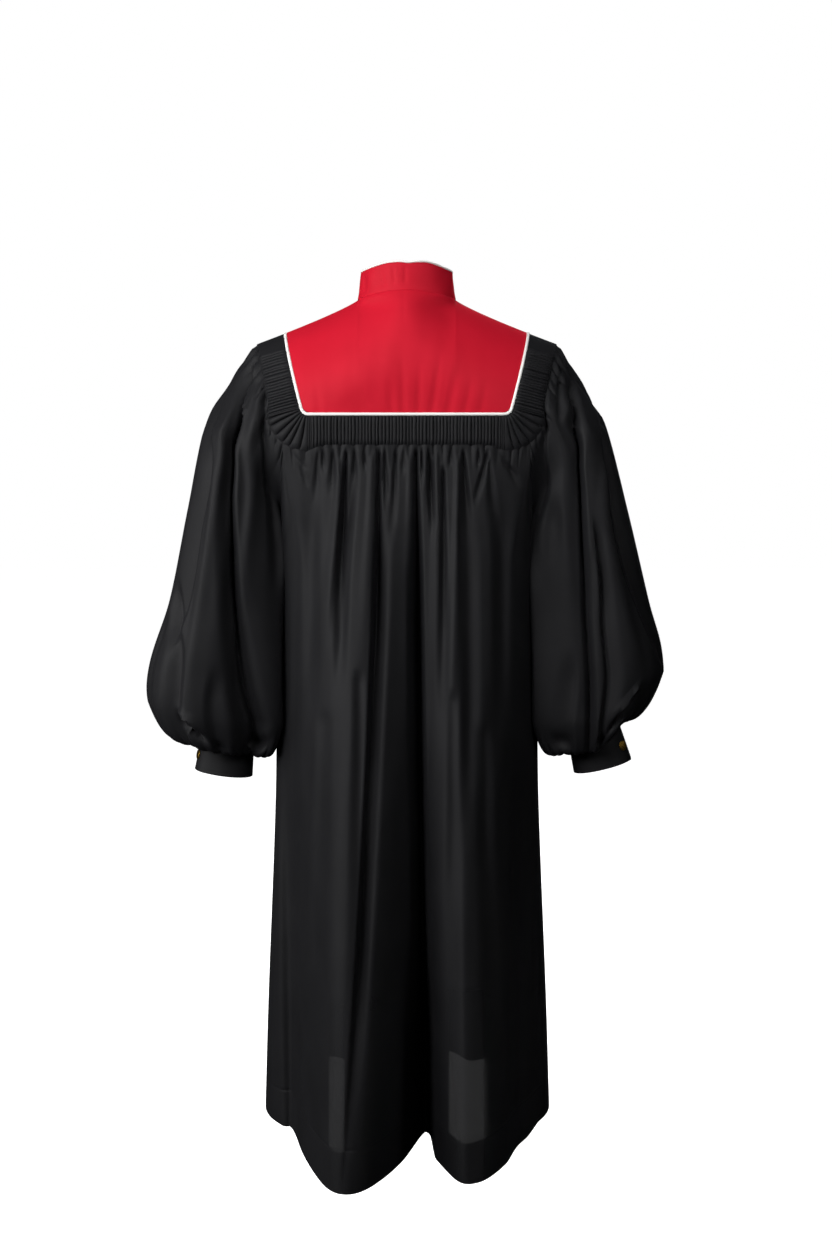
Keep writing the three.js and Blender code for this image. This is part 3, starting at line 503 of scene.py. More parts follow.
YOKE_TOP_Z = float(top_edge(YOKE["top_x"], 1))
SIDE_RUN = np.array([YOKE["bottom_x"] - YOKE["top_x"], YOKE["bottom_z"] - YOKE_TOP_Z])
SIDE_LENGTH = float(np.hypot(*SIDE_RUN))
SIDE_WAY = SIDE_RUN / SIDE_LENGTH
CORNER_TURN = math.acos(-SIDE_WAY[0])
CORNER_TRIM = YOKE["corner"] * math.tan(CORNER_TURN / 2)
SIDE_STRAIGHT = SIDE_LENGTH - CORNER_TRIM
CORNER_ARC = YOKE["corner"] * CORNER_TURN
OUTLINE = SIDE_STRAIGHT + CORNER_ARC + YOKE["bottom_x"] - CORNER_TRIM


def outline(distance):
    """Point of the yoke's outline at a distance from the shoulder, and its outward direction."""
    along = np.clip(distance - SIDE_STRAIGHT, 0, CORNER_ARC)
    turned = -along / YOKE["corner"]
    out_x, out_z = -SIDE_WAY[1], SIDE_WAY[0]
    way_x = out_x * np.cos(turned) - out_z * np.sin(turned)
    way_z = out_x * np.sin(turned) + out_z * np.cos(turned)
    straight = np.minimum(distance, SIDE_STRAIGHT)
    x = YOKE["top_x"] + SIDE_WAY[0] * straight + YOKE["corner"] * (way_x - out_x)
    z = YOKE_TOP_Z + SIDE_WAY[1] * straight + YOKE["corner"] * (way_z - out_z)
    return x - np.maximum(0, distance - SIDE_STRAIGHT - CORNER_ARC), z, way_x, way_z


def band_width(distance):
    from_corner = (distance - SIDE_STRAIGHT - CORNER_ARC / 2) / BAND["corner_spread"]
    return BAND["width"] + BAND["corner_bulge"] * np.exp(-from_corner * from_corner)


def band_point(distance, across, side, beyond=0.0):
    """Point of the band, from the piping at across 0 to the armhole or gathered seam at across 1."""
    mirrored = distance > OUTLINE
    along = np.where(mirrored, 2 * OUTLINE - distance, distance)
    x, z, way_x, way_z = outline(along)
    reach = mix(BESIDE, band_width(along), across) + beyond
    x = x + way_x * reach
    z = z + way_z * reach
    on_seam = np.clip(1 - distance / 6, 0, 1)
    z = np.minimum(z, mix(z, top_edge(x, side), on_seam))
    z = np.minimum(z, top_edge(x, side))
    return chest_point(np.where(mirrored, -x, x), z, side)


CORNER_AT = SIDE_STRAIGHT + CORNER_ARC / 2
EDGE_AT = np.linspace(0, OUTLINE, 301)
EDGE_POINTS = band_point(EDGE_AT, 1.0, 1)
EDGE_STEPS = np.hypot(np.diff(EDGE_POINTS[:, 0]), np.diff(EDGE_POINTS[:, 2]))
EDGE_RUN = np.concatenate([[0], np.cumsum(EDGE_STEPS)])
EDGE_LENGTH = float(EDGE_RUN[-1])
CORNER_LENGTH = float(np.interp(CORNER_AT, EDGE_AT, EDGE_RUN))


def distance_at(length):
    return np.interp(length, EDGE_RUN, EDGE_AT)


# The body below the band


def fold_height(x, drop, path, reaches, depth, power):
    top, bend, hem = path
    centre = mix(mix(top, bend, drop), mix(bend, hem, drop), drop)
    reach = np.where(x > centre, reaches[0], reaches[1])
    return depth * hump(x - centre, reach, power)


def folds_at(flares, folds, x, z):
    drop = np.clip((GATHER_Z - z) / (GATHER_Z - HEM_Z), 0, 1)
    shift = 0
    for top, bend, hem, left, right, depth in flares:
        shift = shift + fold_height(x, drop, (top, bend, hem), (left, right), depth, 1.2) * drop
    for top, bend, hem, start, end, left, right, depth in folds:
        run = (start - z) / (start - end)
        height = fold_height(x, drop, (top, bend, hem), (left, right), depth, 2)
        shift = shift + height * ease(run * 4) * ease((1 - run) * 2.5)
    return shift


def creases_at(rows, x, below):
    shift = 0
    for top, bend, low, start, end, narrow, wide, depth in rows:
        run = np.clip((below - start) / (end - start), 0, 1)
        reach = mix(narrow, wide, ease(run * CREASE["widen"]))
        fade = ease((below - start) / CREASE["start"]) * ease((1 - run) * CREASE["end"])
        shift = shift + depth * hump(x - bezier([top, bend, low], run), reach, CREASE["power"]) * fade
    return shift


def body_ring(turned, z, side):
    half_width = column(BODY, "half", z)
    depth = column(BODY, "back" if side > 0 else "front", z)
    square = column(BODY, "square", z)
    s, c = np.sin(turned), np.maximum(np.cos(turned), 0)
    reach = (np.abs(s / half_width) ** square + np.abs(c / depth) ** square) ** (-1 / square)
    x = reach * s
    flares = BACK_FLARES if side > 0 else FRONT_FLARES
    folds = BACK_FOLDS if side > 0 else FRONT_FOLDS
    shift = folds_at(flares, folds, x, z) * ease(c * 4)
    return xyz(x, column(BODY, "centre", z) + side * reach * c + shift, z)


def armhole(share, side):
    """Edge of the panel from the band's corner down to the underarm."""
    corner = band_point(np.array(CORNER_AT), 1.0, side)
    quarter = share * math.pi / 2
    x = mix(corner[0], UNDERARM["x"], ease(share))
    return xyz(x, corner[1] * np.cos(quarter), mix(corner[2], UNDERARM["z"], np.sin(quarter)))


def panel_top(across, side):
    w = np.abs(across)
    on_band = np.minimum(w / ARMHOLE_SHARE, 1)
    band = band_point(distance_at(mix(EDGE_LENGTH, CORNER_LENGTH, on_band)), 1.0, side)
    below = armhole(np.clip((w - ARMHOLE_SHARE) / (1 - ARMHOLE_SHARE), 0, 1), side)
    point = np.where((w < ARMHOLE_SHARE)[..., None], band, below)
    point[..., 0] *= np.where(across < 0, -1, 1)
    return point


def gather_wave(across, count, below, seed):
    """Height of the small puckers where the cloth is drawn into the seam, each of its own length."""
    along = np.clip(across / ARMHOLE_SHARE, -1, 1)
    uneven = 1 + swings([(0.35, 37, seed), (0.3, 83, 1), (0.2, 17, 0)], along)
    fade = ease(1 - below / (GATHERS["fade"] * uneven))
    inside = ease((1 - np.abs(along)) * 12)
    crowd = swings([(0.9, 9, seed), (0.5, 21, 0)], along)
    height = GATHERS["depth"] * (0.5 + 0.5 * uneven)
    return height * fade * inside * puckers(math.pi * count * along / 4 + crowd)


def panel_turn(across):
    w = np.abs(across)
    on_band = np.arctan(w / ARMHOLE_SHARE * math.tan(ARMHOLE_TURN))
    below = mix(ARMHOLE_TURN, math.pi / 2, (w - ARMHOLE_SHARE) / (1 - ARMHOLE_SHARE))
    return np.sign(across) * np.where(w < ARMHOLE_SHARE, on_band, below)


def panel_point(across, down, side, count):
    top = panel_top(across + 0 * down, side)
    top_z = top[..., 2]
    z = mix(top_z, HEM_Z, down)
    turned = panel_turn(across) + 0 * down
    point = body_ring(turned, z, side)
    hold = ease(1 - (top_z - z) / EASE_LENGTH)
    point = point + (top - body_ring(turned, top_z, side)) * hold[..., None]
    below = top_z - z
    inside = ease((1 - np.abs(across)) * 12)
    creases = BACK_CREASES if side > 0 else FRONT_CREASES
    point[..., 1] += side * gather_wave(across, count, below, 0.7 + side)
    point[..., 1] += creases_at(creases, point[..., 0], below) * inside
    from_stitches = (down - 1 + HEM_DEPTH / (GATHER_Z - HEM_Z)) * (GATHER_Z - HEM_Z)
    point[..., 1] -= side * HEM_STITCHES["depth"] * hump(from_stitches, HEM_STITCHES["reach"])
    uneven = UNEVEN["panel"] * ease(below / 120) * inside
    point[..., 1] += side * uneven * waves(point[..., 0], z, 21 + side)
    return point


# Sleeves. turn 0 is the outside of the arm, 90 degrees is behind, 180 is inside.


def armhole_ring(turned):
    side_sign = np.where(turned <= math.pi, 1.0, -1.0)
    share = np.where(turned <= math.pi, turned, 2 * math.pi - turned) / math.pi
    along_band = np.minimum(share / BAND_SHARE, 1)
    below = np.clip((share - BAND_SHARE) / (1 - BAND_SHARE), 0, 1)
    result = 0
    for side in (1, -1):
        band = band_point(distance_at(along_band * CORNER_LENGTH), 1.0, side)
        point = np.where((below > 0)[..., None], armhole(below, side), band)
        result = result + point * (side_sign == side)[..., None]
    return result


def sleeve_ring(sleeve, turned, z):
    outer = column(sleeve["sections"], "outer", z)
    inner = column(sleeve["sections"], "inner", z)
    back = column(sleeve["sections"], "back", z)
    front = column(sleeve["sections"], "front", z)
    depth = np.where(np.sin(turned) > 0, back, front)
    swell = 0
    for path, outside, inside, height in sleeve["folds"]:
        start, end = path[0][0], path[-1][0]
        off = turn_between(np.degrees(turned), through(path, z))
        reach = np.where((off < 0) == (path[0][1] < 180), outside, inside)
        reach = reach * mix(SLEEVE_FOLD["narrow"], 1, ease(2 * (start - z) / (start - end)))
        fade = ease((start - z) / SLEEVE_FOLD["start"]) * ease((z - end) / SLEEVE_FOLD["end"])
        swell = swell + height * hump(off, reach) * fade
    c, s = np.cos(turned), np.sin(turned)
    square = mix(1, SLEEVE_SQUARE, ease(-2 * c))
    half = (outer - inner) / 2 + swell * SLEEVE_FOLD["sideways"]
    x = (outer + inner) / 2 + half * np.sign(c) * np.abs(c) ** square
    lean = hump(np.degrees(turned) - SLEEVE_LEAN["turn"], SLEEVE_LEAN["reach"])
    x = x - SLEEVE_LEAN["amount"] * lean * ease((SLEEVE_LEAN["from"] - z) / SLEEVE_LEAN["length"])
    return xyz(x, (depth + swell) * np.sign(s) * np.abs(s) ** square, z)


def cuff_ring(cuff, turned, share, grow=0.0):
    radius = mix(cuff["top_half"], cuff["end_half"], share) + grow
    x = radius * np.cos(turned)
    y = cuff["y"] + radius * CUFF_DEPTH * np.sin(turned)
    z = (cuff["end"] - cuff["top"]) * share + 0 * x
    tilt = math.radians(cuff["tilt"])
    c, s = math.cos(tilt), math.sin(tilt)
    return xyz(cuff["x"] + c * x - s * z, y, cuff["top"] + s * x + c * z)


def crowded(share_turned):
    """Turn round the sleeve of each column, crowded toward the inside of the arm."""
    return share_turned + SLEEVE_CROWDING * np.sin(share_turned)


def fall_and_under(down):
    """Shares of the way down the sleeve's fall, and then along the underside of its puff."""
    fall = np.clip(down / SLEEVE_FALL, 0, 1)
    return fall, np.clip((down - SLEEVE_FALL) / (1 - SLEEVE_FALL), 0, 1)


def sleeve_point(sleeve, share, down):
    puff = sleeve["puff"]
    raw = share * 2 * math.pi + 0 * down
    turned = crowded(raw)
    top = armhole_ring(raw)
    top_z = top[..., 2]
    inward = (1 - np.cos(turned)) / 2
    # Behind, one sleeve's lower edge drops suddenly where the puff folds over on itself.
    step = ease((np.degrees(turned) - PUFF["step_from"]) / PUFF["step_over"])
    low = mix(puff["outer"], puff["inner"], mix(inward, step, puff["step"] * (turned < math.pi)))
    turn_z = low + PUFF["height"]
    fall, under = fall_and_under(down)
    z = mix(top_z, turn_z, fall)
    point = sleeve_ring(sleeve, turned, z)
    hold_length = mix(SLEEVE_HOLD["outside"], SLEEVE_HOLD["beside"], ease(inward * 3))
    hold = ease(1 - (top_z - z) / hold_length)
    point = point + (top - sleeve_ring(sleeve, turned, top_z)) * hold[..., None]
    end = cuff_ring(sleeve["cuff"], turned, 0.0, PUFF["outside_cuff"])
    end[..., 2] += PUFF["above_cuff"]
    run = np.hypot(point[..., 0] - end[..., 0], point[..., 1] - end[..., 1])
    in_share = bezier([0, PUFF["early"], PUFF["middle"], 1 - PUFF["clear"] / run, 1], under)
    point[..., 0] = mix(point[..., 0], end[..., 0], in_share)
    point[..., 1] = mix(point[..., 1], end[..., 1], in_share)
    cuff_z = end[..., 2]
    controls = [turn_z, low - PUFF["turn"], low - PUFF["sag"], cuff_z + PUFF["lift"], cuff_z]
    point[..., 2] = np.where(under > 0, bezier(controls, under), point[..., 2])
    point[..., 0] *= sleeve["side"]
    return point


def sleeve_relief(sleeve, share, down, points):
    """Height of the gathers at both ends, the dents above the cuff and the cloth's small unevenness."""
    raw = share * 2 * math.pi + 0 * down
    turned = np.degrees(crowded(raw))
    below = points[:, :1, 2] - points[..., 2]
    fall, under = fall_and_under(down)
    uneven = 1 + swings([(0.35, 3, 1), (0.25, 7, 0), (0.25, 17, 0)], raw)
    crowd = swings([(0.9, 4, 0), (0.5, 9, 0)], raw)
    pucker = puckers(SLEEVE_GATHERS["count"] * raw + crowd) * uneven
    head = ease(1 - below / (SLEEVE_GATHERS["head_length"] * uneven)) * ease(fall * 60)
    lift = SLEEVE_GATHERS["head"] * pucker * head * ease(0.9 + 0.9 * np.cos(raw)) * (under == 0)
    lift = lift + SLEEVE_GATHERS["cuff"] * pucker * ease(under * 1.6) * ease(5 - 5 * under)
    hanging = UNEVEN["sleeve"] * ease(below / 100) * ease((1 - under) * 3)
    lift = lift + hanging * waves(raw * 90, points[..., 2], 40 + sleeve["side"])
    for turn, share_down, slope, across, along, depth in sleeve["dents"]:
        off = turn_between(turned, turn)
        lift = lift + depth * hump(off, across) * hump(down - share_down - slope * off, along)
    return lift


def cuff_point(sleeve, share, down):
    start = math.radians(sleeve["button"]["angle"]) + LAP["turn"] * LAP["centre"]
    turned = start - share * (2 * math.pi + LAP["turn"])
    lift = LAP["lift"] * ease((share - 0.8) / 0.12)
    point = cuff_ring(sleeve["cuff"], turned + 0 * down, down, lift)
    point[..., 0] *= sleeve["side"]
    return point


# Materials


def linear(hex_colour):
    """sRGB hex value as linear red, green, blue and alpha."""
    channels = [int(hex_colour[i:i + 2], 16) / 255 for i in (1, 3, 5)]
    return [c / 12.92 if c <= 0.04045 else ((c + 0.055) / 1.055) ** 2.4 for c in channels] + [1.0]


def add(tree, kind, inputs=None, **settings):
    """Adds a node with its settings; an input's value is a number, a colour or another node's output."""
    node = tree.nodes.new(kind)
    for name, value in settings.items():
        setattr(node, name, value)
    for name, value in (inputs or {}).items():
        socket = node.inputs[name]
        if isinstance(value, bpy.types.NodeSocket):
            tree.links.new(value, socket)
        else:
            socket.default_value = value
    return node


def new_material(name):
    material = bpy.data.materials.new(name)
    material.use_nodes = True
    tree = material.node_tree
    tree.nodes.clear()
    return material, tree, tree.nodes.new("ShaderNodeOutputMaterial")


def ramp(tree, factor, stops):
    node = add(tree, "ShaderNodeValToRGB", {"Fac": factor})
    elements = node.color_ramp.elements
    elements[0].position, elements[0].color = stops[0][0], linear(stops[0][1])
    elements[1].position, elements[1].color = stops[-1][0], linear(stops[-1][1])
    for position, colour in stops[1:-1]:
        elements.new(position).color = linear(colour)
    return node.outputs["Color"]


def plain_weave(tree, thread_mm, strength, distance_mm):
    """Bump of a plain weave: warp and weft ribs at the thread's spacing, and slubs along them."""
    place = add(tree, "ShaderNodeUVMap", uv_map="cut").outputs["UV"]
    scaled = add(tree, "ShaderNodeMapping", {"Vector": place, "Scale": (1 / MM, 1 / MM, 1)})
    ribs = []
    for way in ("X", "Y"):
        wave = add(tree, "ShaderNodeTexWave", {
            "Vector": scaled.outputs["Vector"], "Scale": ONE_BAND / thread_mm, "Distortion": 0.4,
            "Detail": 1.0, "Detail Scale": 0.6,
        }, bands_direction=way)
        ribs.append(wave.outputs["Fac"])
    woven = add(tree, "ShaderNodeMath", {0: ribs[0], 1: ribs[1]}, operation="MULTIPLY").outputs[0]
    place = scaled.outputs["Vector"]
    slub = add(tree, "ShaderNodeTexNoise", {"Vector": place, "Scale": 0.35, "Detail": 3.0}).outputs["Fac"]
    height = add(tree, "ShaderNodeMath", {0: slub, 1: 0.8, 2: woven}, operation="MULTIPLY_ADD")
    bump = add(tree, "ShaderNodeBump", {
        "Height": height.outputs[0], "Strength": strength, "Distance": distance_mm * MM,
    })
    return bump.outputs["Normal"], place


# Black polyester crepe, plain woven: matt with a faint sheen on the turn of each fold. Its threads
# are about 0.3 mm apart, which is finer than a pixel, so the weave is drawn at 0.9 mm.
def black_crepe(sheer=False):
    name = "black_polyester_crepe_sheer" if sheer else "black_polyester_crepe"
    material, tree, output = new_material(name)
    normal, place = plain_weave(tree, WEAVE, 0.35, 0.12)
    patches = add(tree, "ShaderNodeTexNoise", {"Vector": place, "Scale": 0.012, "Detail": 4.0})
    colour = ramp(tree, patches.outputs["Fac"], [(0.35, "#131315"), (0.65, "#171719")])
    cloth = add(tree, "ShaderNodeBsdfPrincipled", {
        "Base Color": colour, "Roughness": 0.62, "Specular IOR Level": 0.16, "IOR": 1.5,
        "Sheen Weight": 0.02, "Sheen Roughness": 0.45, "Sheen Tint": linear("#8a8a96"), "Normal": normal,
    })
    shader = cloth.outputs["BSDF"]
    if sheer:
        # A single layer lets a little of the light behind it through; hems and overlaps don't.
        single = add(tree, "ShaderNodeAttribute", attribute_name="single_layer").outputs["Fac"]
        clear = add(tree, "ShaderNodeBsdfTransparent", {"Color": linear("#ffffff")}).outputs["BSDF"]
        shader = add(tree, "ShaderNodeMixShader", {0: single, 1: shader, 2: clear}).outputs["Shader"]
    tree.links.new(shader, output.inputs["Surface"])
    return material


# Red polyester crepe of the same weave: saturated, with a slightly brighter sheen than the black.
def red_crepe():
    material, tree, output = new_material("red_polyester_crepe")
    normal, place = plain_weave(tree, WEAVE, 0.3, 0.1)
    patches = add(tree, "ShaderNodeTexNoise", {"Vector": place, "Scale": 0.015, "Detail": 4.0})
    colour = ramp(tree, patches.outputs["Fac"], [(0.3, "#b01024"), (0.7, "#b81328")])
    cloth = add(tree, "ShaderNodeBsdfPrincipled", {
        "Base Color": colour, "Roughness": 0.62, "Specular IOR Level": 0.1, "IOR": 1.5,
        "Sheen Weight": 0.01, "Sheen Roughness": 0.5, "Sheen Tint": linear("#ff8a8a"), "Normal": normal,
    })
    tree.links.new(cloth.outputs["BSDF"], output.inputs["Surface"])
    return material


# White satin bias binding sewn over a cord: bright, with a soft gloss along its top and the cord's
# slanted twist faintly raised, 1.6 mm apart.
def white_binding():
    material, tree, output = new_material("white_satin_binding")
    place = add(tree, "ShaderNodeUVMap", uv_map="cut").outputs["UV"]
    scaled = add(tree, "ShaderNodeMapping", {"Vector": place, "Scale": (1 / MM, 1 / MM, 1)})
    twist = add(tree, "ShaderNodeTexWave", {
        "Vector": scaled.outputs["Vector"], "Scale": ONE_BAND / PIPING_TWIST, "Distortion": 0.6,
    }, bands_direction="DIAGONAL")
    bump = add(tree, "ShaderNodeBump", {
        "Height": twist.outputs["Fac"], "Strength": 0.25, "Distance": 0.1 * MM,
    })
    cloth = add(tree, "ShaderNodeBsdfPrincipled", {
        "Base Color": linear("#e6e5e2"), "Roughness": 0.42, "Specular IOR Level": 0.3, "IOR": 1.5,
        "Normal": bump.outputs["Normal"],
    })
    tree.links.new(cloth.outputs["BSDF"], output.inputs["Surface"])
    return material


# Stamped brass with a gold wash: bright on the dome and rim, darker in the groove and with light wear.
def gold_brass():
    material, tree, output = new_material("gold_washed_stamped_brass")
    place = add(tree, "ShaderNodeTexCoord").outputs["Object"]
    wear = add(tree, "ShaderNodeTexNoise", {"Vector": place, "Scale": 900.0, "Detail": 4.0}).outputs["Fac"]
    colour = ramp(tree, wear, [(0.3, "#b8862f"), (0.7, "#e4b95a")])
    rough = add(tree, "ShaderNodeMapRange", {"Value": wear, "To Min": 0.2, "To Max": 0.36}).outputs[0]
    bump = add(tree, "ShaderNodeBump", {"Height": wear, "Strength": 0.15, "Distance": 0.05 * MM})
    metal = add(tree, "ShaderNodeBsdfPrincipled", {
        "Base Color": colour, "Metallic": 1.0, "Roughness": rough, "Normal": bump.outputs["Normal"],
    })
    tree.links.new(metal.outputs["BSDF"], output.inputs["Surface"])
    return material


# Pale matt studio floor, lit from within its own sheet so that it is evenly white to its far edge
def pale_floor():
    material, tree, output = new_material("pale_matt_floor")
    paint = add(tree, "ShaderNodeBsdfPrincipled", {
        "Base Color": linear("#e6e6e6"), "Roughness": 0.9, "Specular IOR Level": 0.1,
        "Emission Color": linear("#ffffff"), "Emission Strength": 1.0,
    })
    tree.links.new(paint.outputs["BSDF"], output.inputs["Surface"])
    return material


# Meshes


def deselect_all():
    bpy.ops.object.select_all(action="DESELECT")


def activate(piece):
    deselect_all()
    piece.select_set(True)
    bpy.context.view_layer.objects.active = piece


def apply_modifiers(piece):
    activate(piece)
    for modifier in list(piece.modifiers):
        bpy.ops.object.modifier_apply(modifier=modifier.name)


def normals_of(points, ring=False):
    along = np.gradient(np.concatenate([points[-1:], points, points[:1]]) if ring else points, axis=0)
    along = along[1:-1] if ring else along
    normal = np.cross(along, np.gradient(points, axis=1))
    return normal / np.maximum(np.linalg.norm(normal, axis=-1, keepdims=True), 1e-9)


def outward(points, centre, ring=False):
    """Unit normals of a grid of points, all turned to the side that faces away from centre."""
    normal = normals_of(points, ring)
    return normal * np.sign((normal * (points - np.array(centre))).sum())


def grid_piece(name, points, material, centre, cut, wall=CLOTH_WALL, ring=False, marks=None):
    """A sheet of cloth through a grid of points (columns x rows x 3, in mm), facing away from centre.

    cut is its row of CUTS. marks is a value for each point, kept as the attribute single_layer.
    """
    columns, rows = points.shape[:2]
    width, length = cut.get("inside", cut["flat"])
    flip = (normals_of(points) * (points - np.array(centre))).sum() <= 0
    i, j = np.meshgrid(np.arange(columns if ring else columns - 1), np.arange(rows - 1), indexing="ij")
    after = (i + 1) % columns
    quads = np.stack([i * rows + j, after * rows + j, after * rows + j + 1, i * rows + j + 1], axis=-1)
    u = np.stack([i, i + 1, i + 1, i], axis=-1) / (columns if ring else columns - 1)
    v = np.stack([j, j, j + 1, j + 1], axis=-1) / (rows - 1)
    if flip:
        quads, u, v = quads[..., ::-1], u[..., ::-1], v[..., ::-1]
    mesh = bpy.data.meshes.new(name)
    mesh.from_pydata((points.reshape(-1, 3) * MM).tolist(), [], quads.reshape(-1, 4).tolist())
    layer = mesh.uv_layers.new(name="cut")
    flat = np.stack([u.ravel() * width * MM, v.ravel() * length * MM], axis=-1)
    layer.data.foreach_set("uv", flat.ravel())
    if marks is not None:
        attribute = mesh.attributes.new("single_layer", "FLOAT", "POINT")
        attribute.data.foreach_set("value", marks.ravel().astype(np.float32))
    mesh.materials.append(material)
    piece = bpy.data.objects.new(name, mesh)
    bpy.context.scene.collection.objects.link(piece)
    shell = piece.modifiers.new("wall", "SOLIDIFY")
    shell.thickness = wall * MM
    shell.offset = 0
    shell.use_even_offset = False
    apply_modifiers(piece)
    bpy.ops.object.shade_smooth_by_angle(angle=math.radians(70))
    return piece


def tube_piece(name, path, radius, material, sides=14):
    """A cord covered in binding, along a list of points in mm, closed at both ends."""
    path = np.asarray(path, float)
    way = np.gradient(path, axis=0)
    way = way / np.linalg.norm(way, axis=1, keepdims=True)
    up = np.zeros_like(path)
    guide = np.array([0.0, 1.0, 0.3])
    for k, direction in enumerate(way):
        guide = guide - direction * guide.dot(direction)
        guide = guide / np.linalg.norm(guide)
        up[k] = guide
    side = np.cross(way, up)
    turn = np.linspace(0, 2 * math.pi, sides, endpoint=False)
    rings = path[:, None] + radius * (
        np.cos(turn)[None, :, None] * up[:, None] + np.sin(turn)[None, :, None] * side[:, None])
    count = len(path)
    run = np.concatenate([[0], np.cumsum(np.linalg.norm(np.diff(path, axis=0), axis=1))])
    faces, uvs = [], []
    for k in range(count - 1):
        for s in range(sides):
            t = (s + 1) % sides
            faces.append((k * sides + s, k * sides + t, (k + 1) * sides + t, (k + 1) * sides + s))
            around = 2 * math.pi * radius / sides
            uvs += [(run[k], s * around), (run[k], (s + 1) * around)]
            uvs += [(run[k + 1], (s + 1) * around), (run[k + 1], s * around)]
    for start, order in ((0, -1), ((count - 1) * sides, 1)):
        faces.append(tuple(start + s for s in range(sides))[::order])
        uvs += [(0, 0)] * sides
    mesh = bpy.data.meshes.new(name)
    mesh.from_pydata((rings.reshape(-1, 3) * MM).tolist(), [], faces)
    mesh.uv_layers.new(name="cut").data.foreach_set("uv", (np.array(uvs) * MM).ravel())
    mesh.materials.append(material)
    piece = bpy.data.objects.new(name, mesh)
    bpy.context.scene.collection.objects.link(piece)
    work = bmesh.new()
    work.from_mesh(mesh)
    bmesh.ops.recalc_face_normals(work, faces=work.faces)
    work.to_mesh(mesh)
    work.free()
    activate(piece)
    bpy.ops.object.shade_smooth_by_angle(angle=math.radians(50))
    return piece


def declare(piece, node):
    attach(piece, "root")
    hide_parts(node)


# Collar and its piping


def collar_point(share, up):
    turned = mix(COLLAR["opening"], 2 * math.pi - COLLAR["opening"], share) - math.pi / 2
    c, s = np.cos(turned), np.sin(turned)
    lean = COLLAR["lean"] * up
    depth = np.where(s > 0, NECK_BACK["depth"], NECK_FRONT["depth"])
    x = (NECK_HALF - lean) * c
    seam = np.where(s > 0, top_edge(NECK_HALF * c, 1), top_edge(NECK_HALF * c, -1))
    seam = np.where(np.abs(c) > 0.999999, NECK_SIDE, seam)
    uneven = sum(height * hump(x - place, reach) for place, reach, height in COLLAR_EDGE)
    height = COLLAR["height"] + np.where(s > 0, uneven, 0)
    return xyz(x, (depth - lean) * s, seam + COLLAR["lift"] + height * up)


def make_collar(red, white):
    share, up = grid(np.linspace(0, 1, 181), np.linspace(-0.05, 1, 15))
    points = collar_point(share, up)
    away = points * (1, 1, 0)
    away = away / np.linalg.norm(away, axis=-1, keepdims=True)
    # The lower edge stands out from the yoke, and the cloth creases between the stitched edges.
    out = 0.8 * ease(1 - 4 * up)
    crease = UNEVEN["collar"] * waves(share * 400, up * 30, 3)
    for at, lean, reach, depth in COLLAR_CREASES:
        crease = crease + depth * hump(share - at - lean * up, reach)
    out = out + ease(up * 3) * ease((1 - up) * 3) * crease
    points = points + away * out[..., None]
    cut = CUTS["collar"]
    collar = grid_piece("stand_collar", points, red, COLLAR_CENTRE, cut, COLLAR["wall"])
    declare(collar, "collar")
    path = collar_point(np.linspace(0, 1, 200), np.ones(200))
    path[:, 2] += COLLAR_PIPING + 0.2
    declare(tube_piece("collar_piping", path, COLLAR_PIPING, white, 12), "collar_piping")


# Yokes


def yoke_half_width(z, bottom):
    drop = np.clip((YOKE_TOP_Z - z) / (YOKE_TOP_Z - YOKE["bottom_z"]), 0, 1)
    line = mix(YOKE["top_x"], YOKE["bottom_x"], drop)
    corner = YOKE["corner"] - BESIDE
    into_corner = np.clip(1 - (z - bottom) / corner, 0, 1)
    return line - BESIDE - corner * (1 - np.sqrt(1 - into_corner**2))


def yoke_point(across, down, side):
    bottom = YOKE["bottom_z"] + BESIDE
    x = across * (YOKE["top_x"] - BESIDE) + 0 * down
    # The width depends on the height and the top edge on the width, so both are found together.
    for _ in range(6):
        z = mix(top_edge(x, side), bottom, down)
        x = across * yoke_half_width(z, bottom)
    return chest_point(x, mix(top_edge(x, side), bottom, down), side)


def yoke_columns(count):
    """Crowded toward the side of the neck, where the seam turns fastest."""
    neck_share = NECK_HALF / (YOKE["top_x"] - BESIDE)
    neck = neck_share * np.sin(np.linspace(0, math.pi / 2, count))
    return np.concatenate([neck, np.linspace(neck_share, 1, count)[1:]])


def make_yokes(red):
    half = yoke_columns(40)
    rows = ease(np.linspace(0, 1, 61)) * 0.35 + np.linspace(0, 1, 61) * 0.65
    across, down = grid(np.concatenate([-half[:0:-1], half]), rows)
    points = yoke_point(across, down, 1)
    x, z = points[..., 0], points[..., 2]
    lift = UNEVEN["back_yoke"] * waves(x, z, 9) * ease(down * 5) * ease((1 - down) * 8)
    for place, lean, up, reach, depth in YOKE_FOLDS:
        run = np.clip((z - YOKE["bottom_z"]) / up, 0, 1)
        lift = lift - depth * hump(x - place - lean * run, reach) * ease((1 - run) * 1.5)
    pinch = ease((z - YOKE_PINCH["bottom"]) / YOKE_PINCH["soft_bottom"])
    pinch = pinch * ease((YOKE_PINCH["top"] - z) / YOKE_PINCH["soft_top"])
    lift = lift - YOKE_PINCH["depth"] * hump(x - YOKE_PINCH["x"], YOKE_PINCH["reach"]) * pinch
    points[..., 1] += lift
    yoke = grid_piece("back_yoke_shell", points, red, YOKE_CENTRE, CUTS["back_yoke"], YOKE_WALL)
    declare(yoke, "back_yoke")
    for name, sign in SIDES:
        across, down = grid(half * sign, rows)
        points = yoke_point(across, down, -1)
        uneven = UNEVEN["front_yoke"] * waves(points[..., 0], points[..., 2], 12 + sign)
        points[..., 1] += uneven * ease(down * 5) * ease((1 - down) * 8)
        cut = CUTS["front_yoke"]
        front = grid_piece(f"front_yoke_{name}_shell", points, red, YOKE_CENTRE, cut, YOKE_WALL)
        declare(front, f"front_yoke_{name}")


# Piping round the yoke


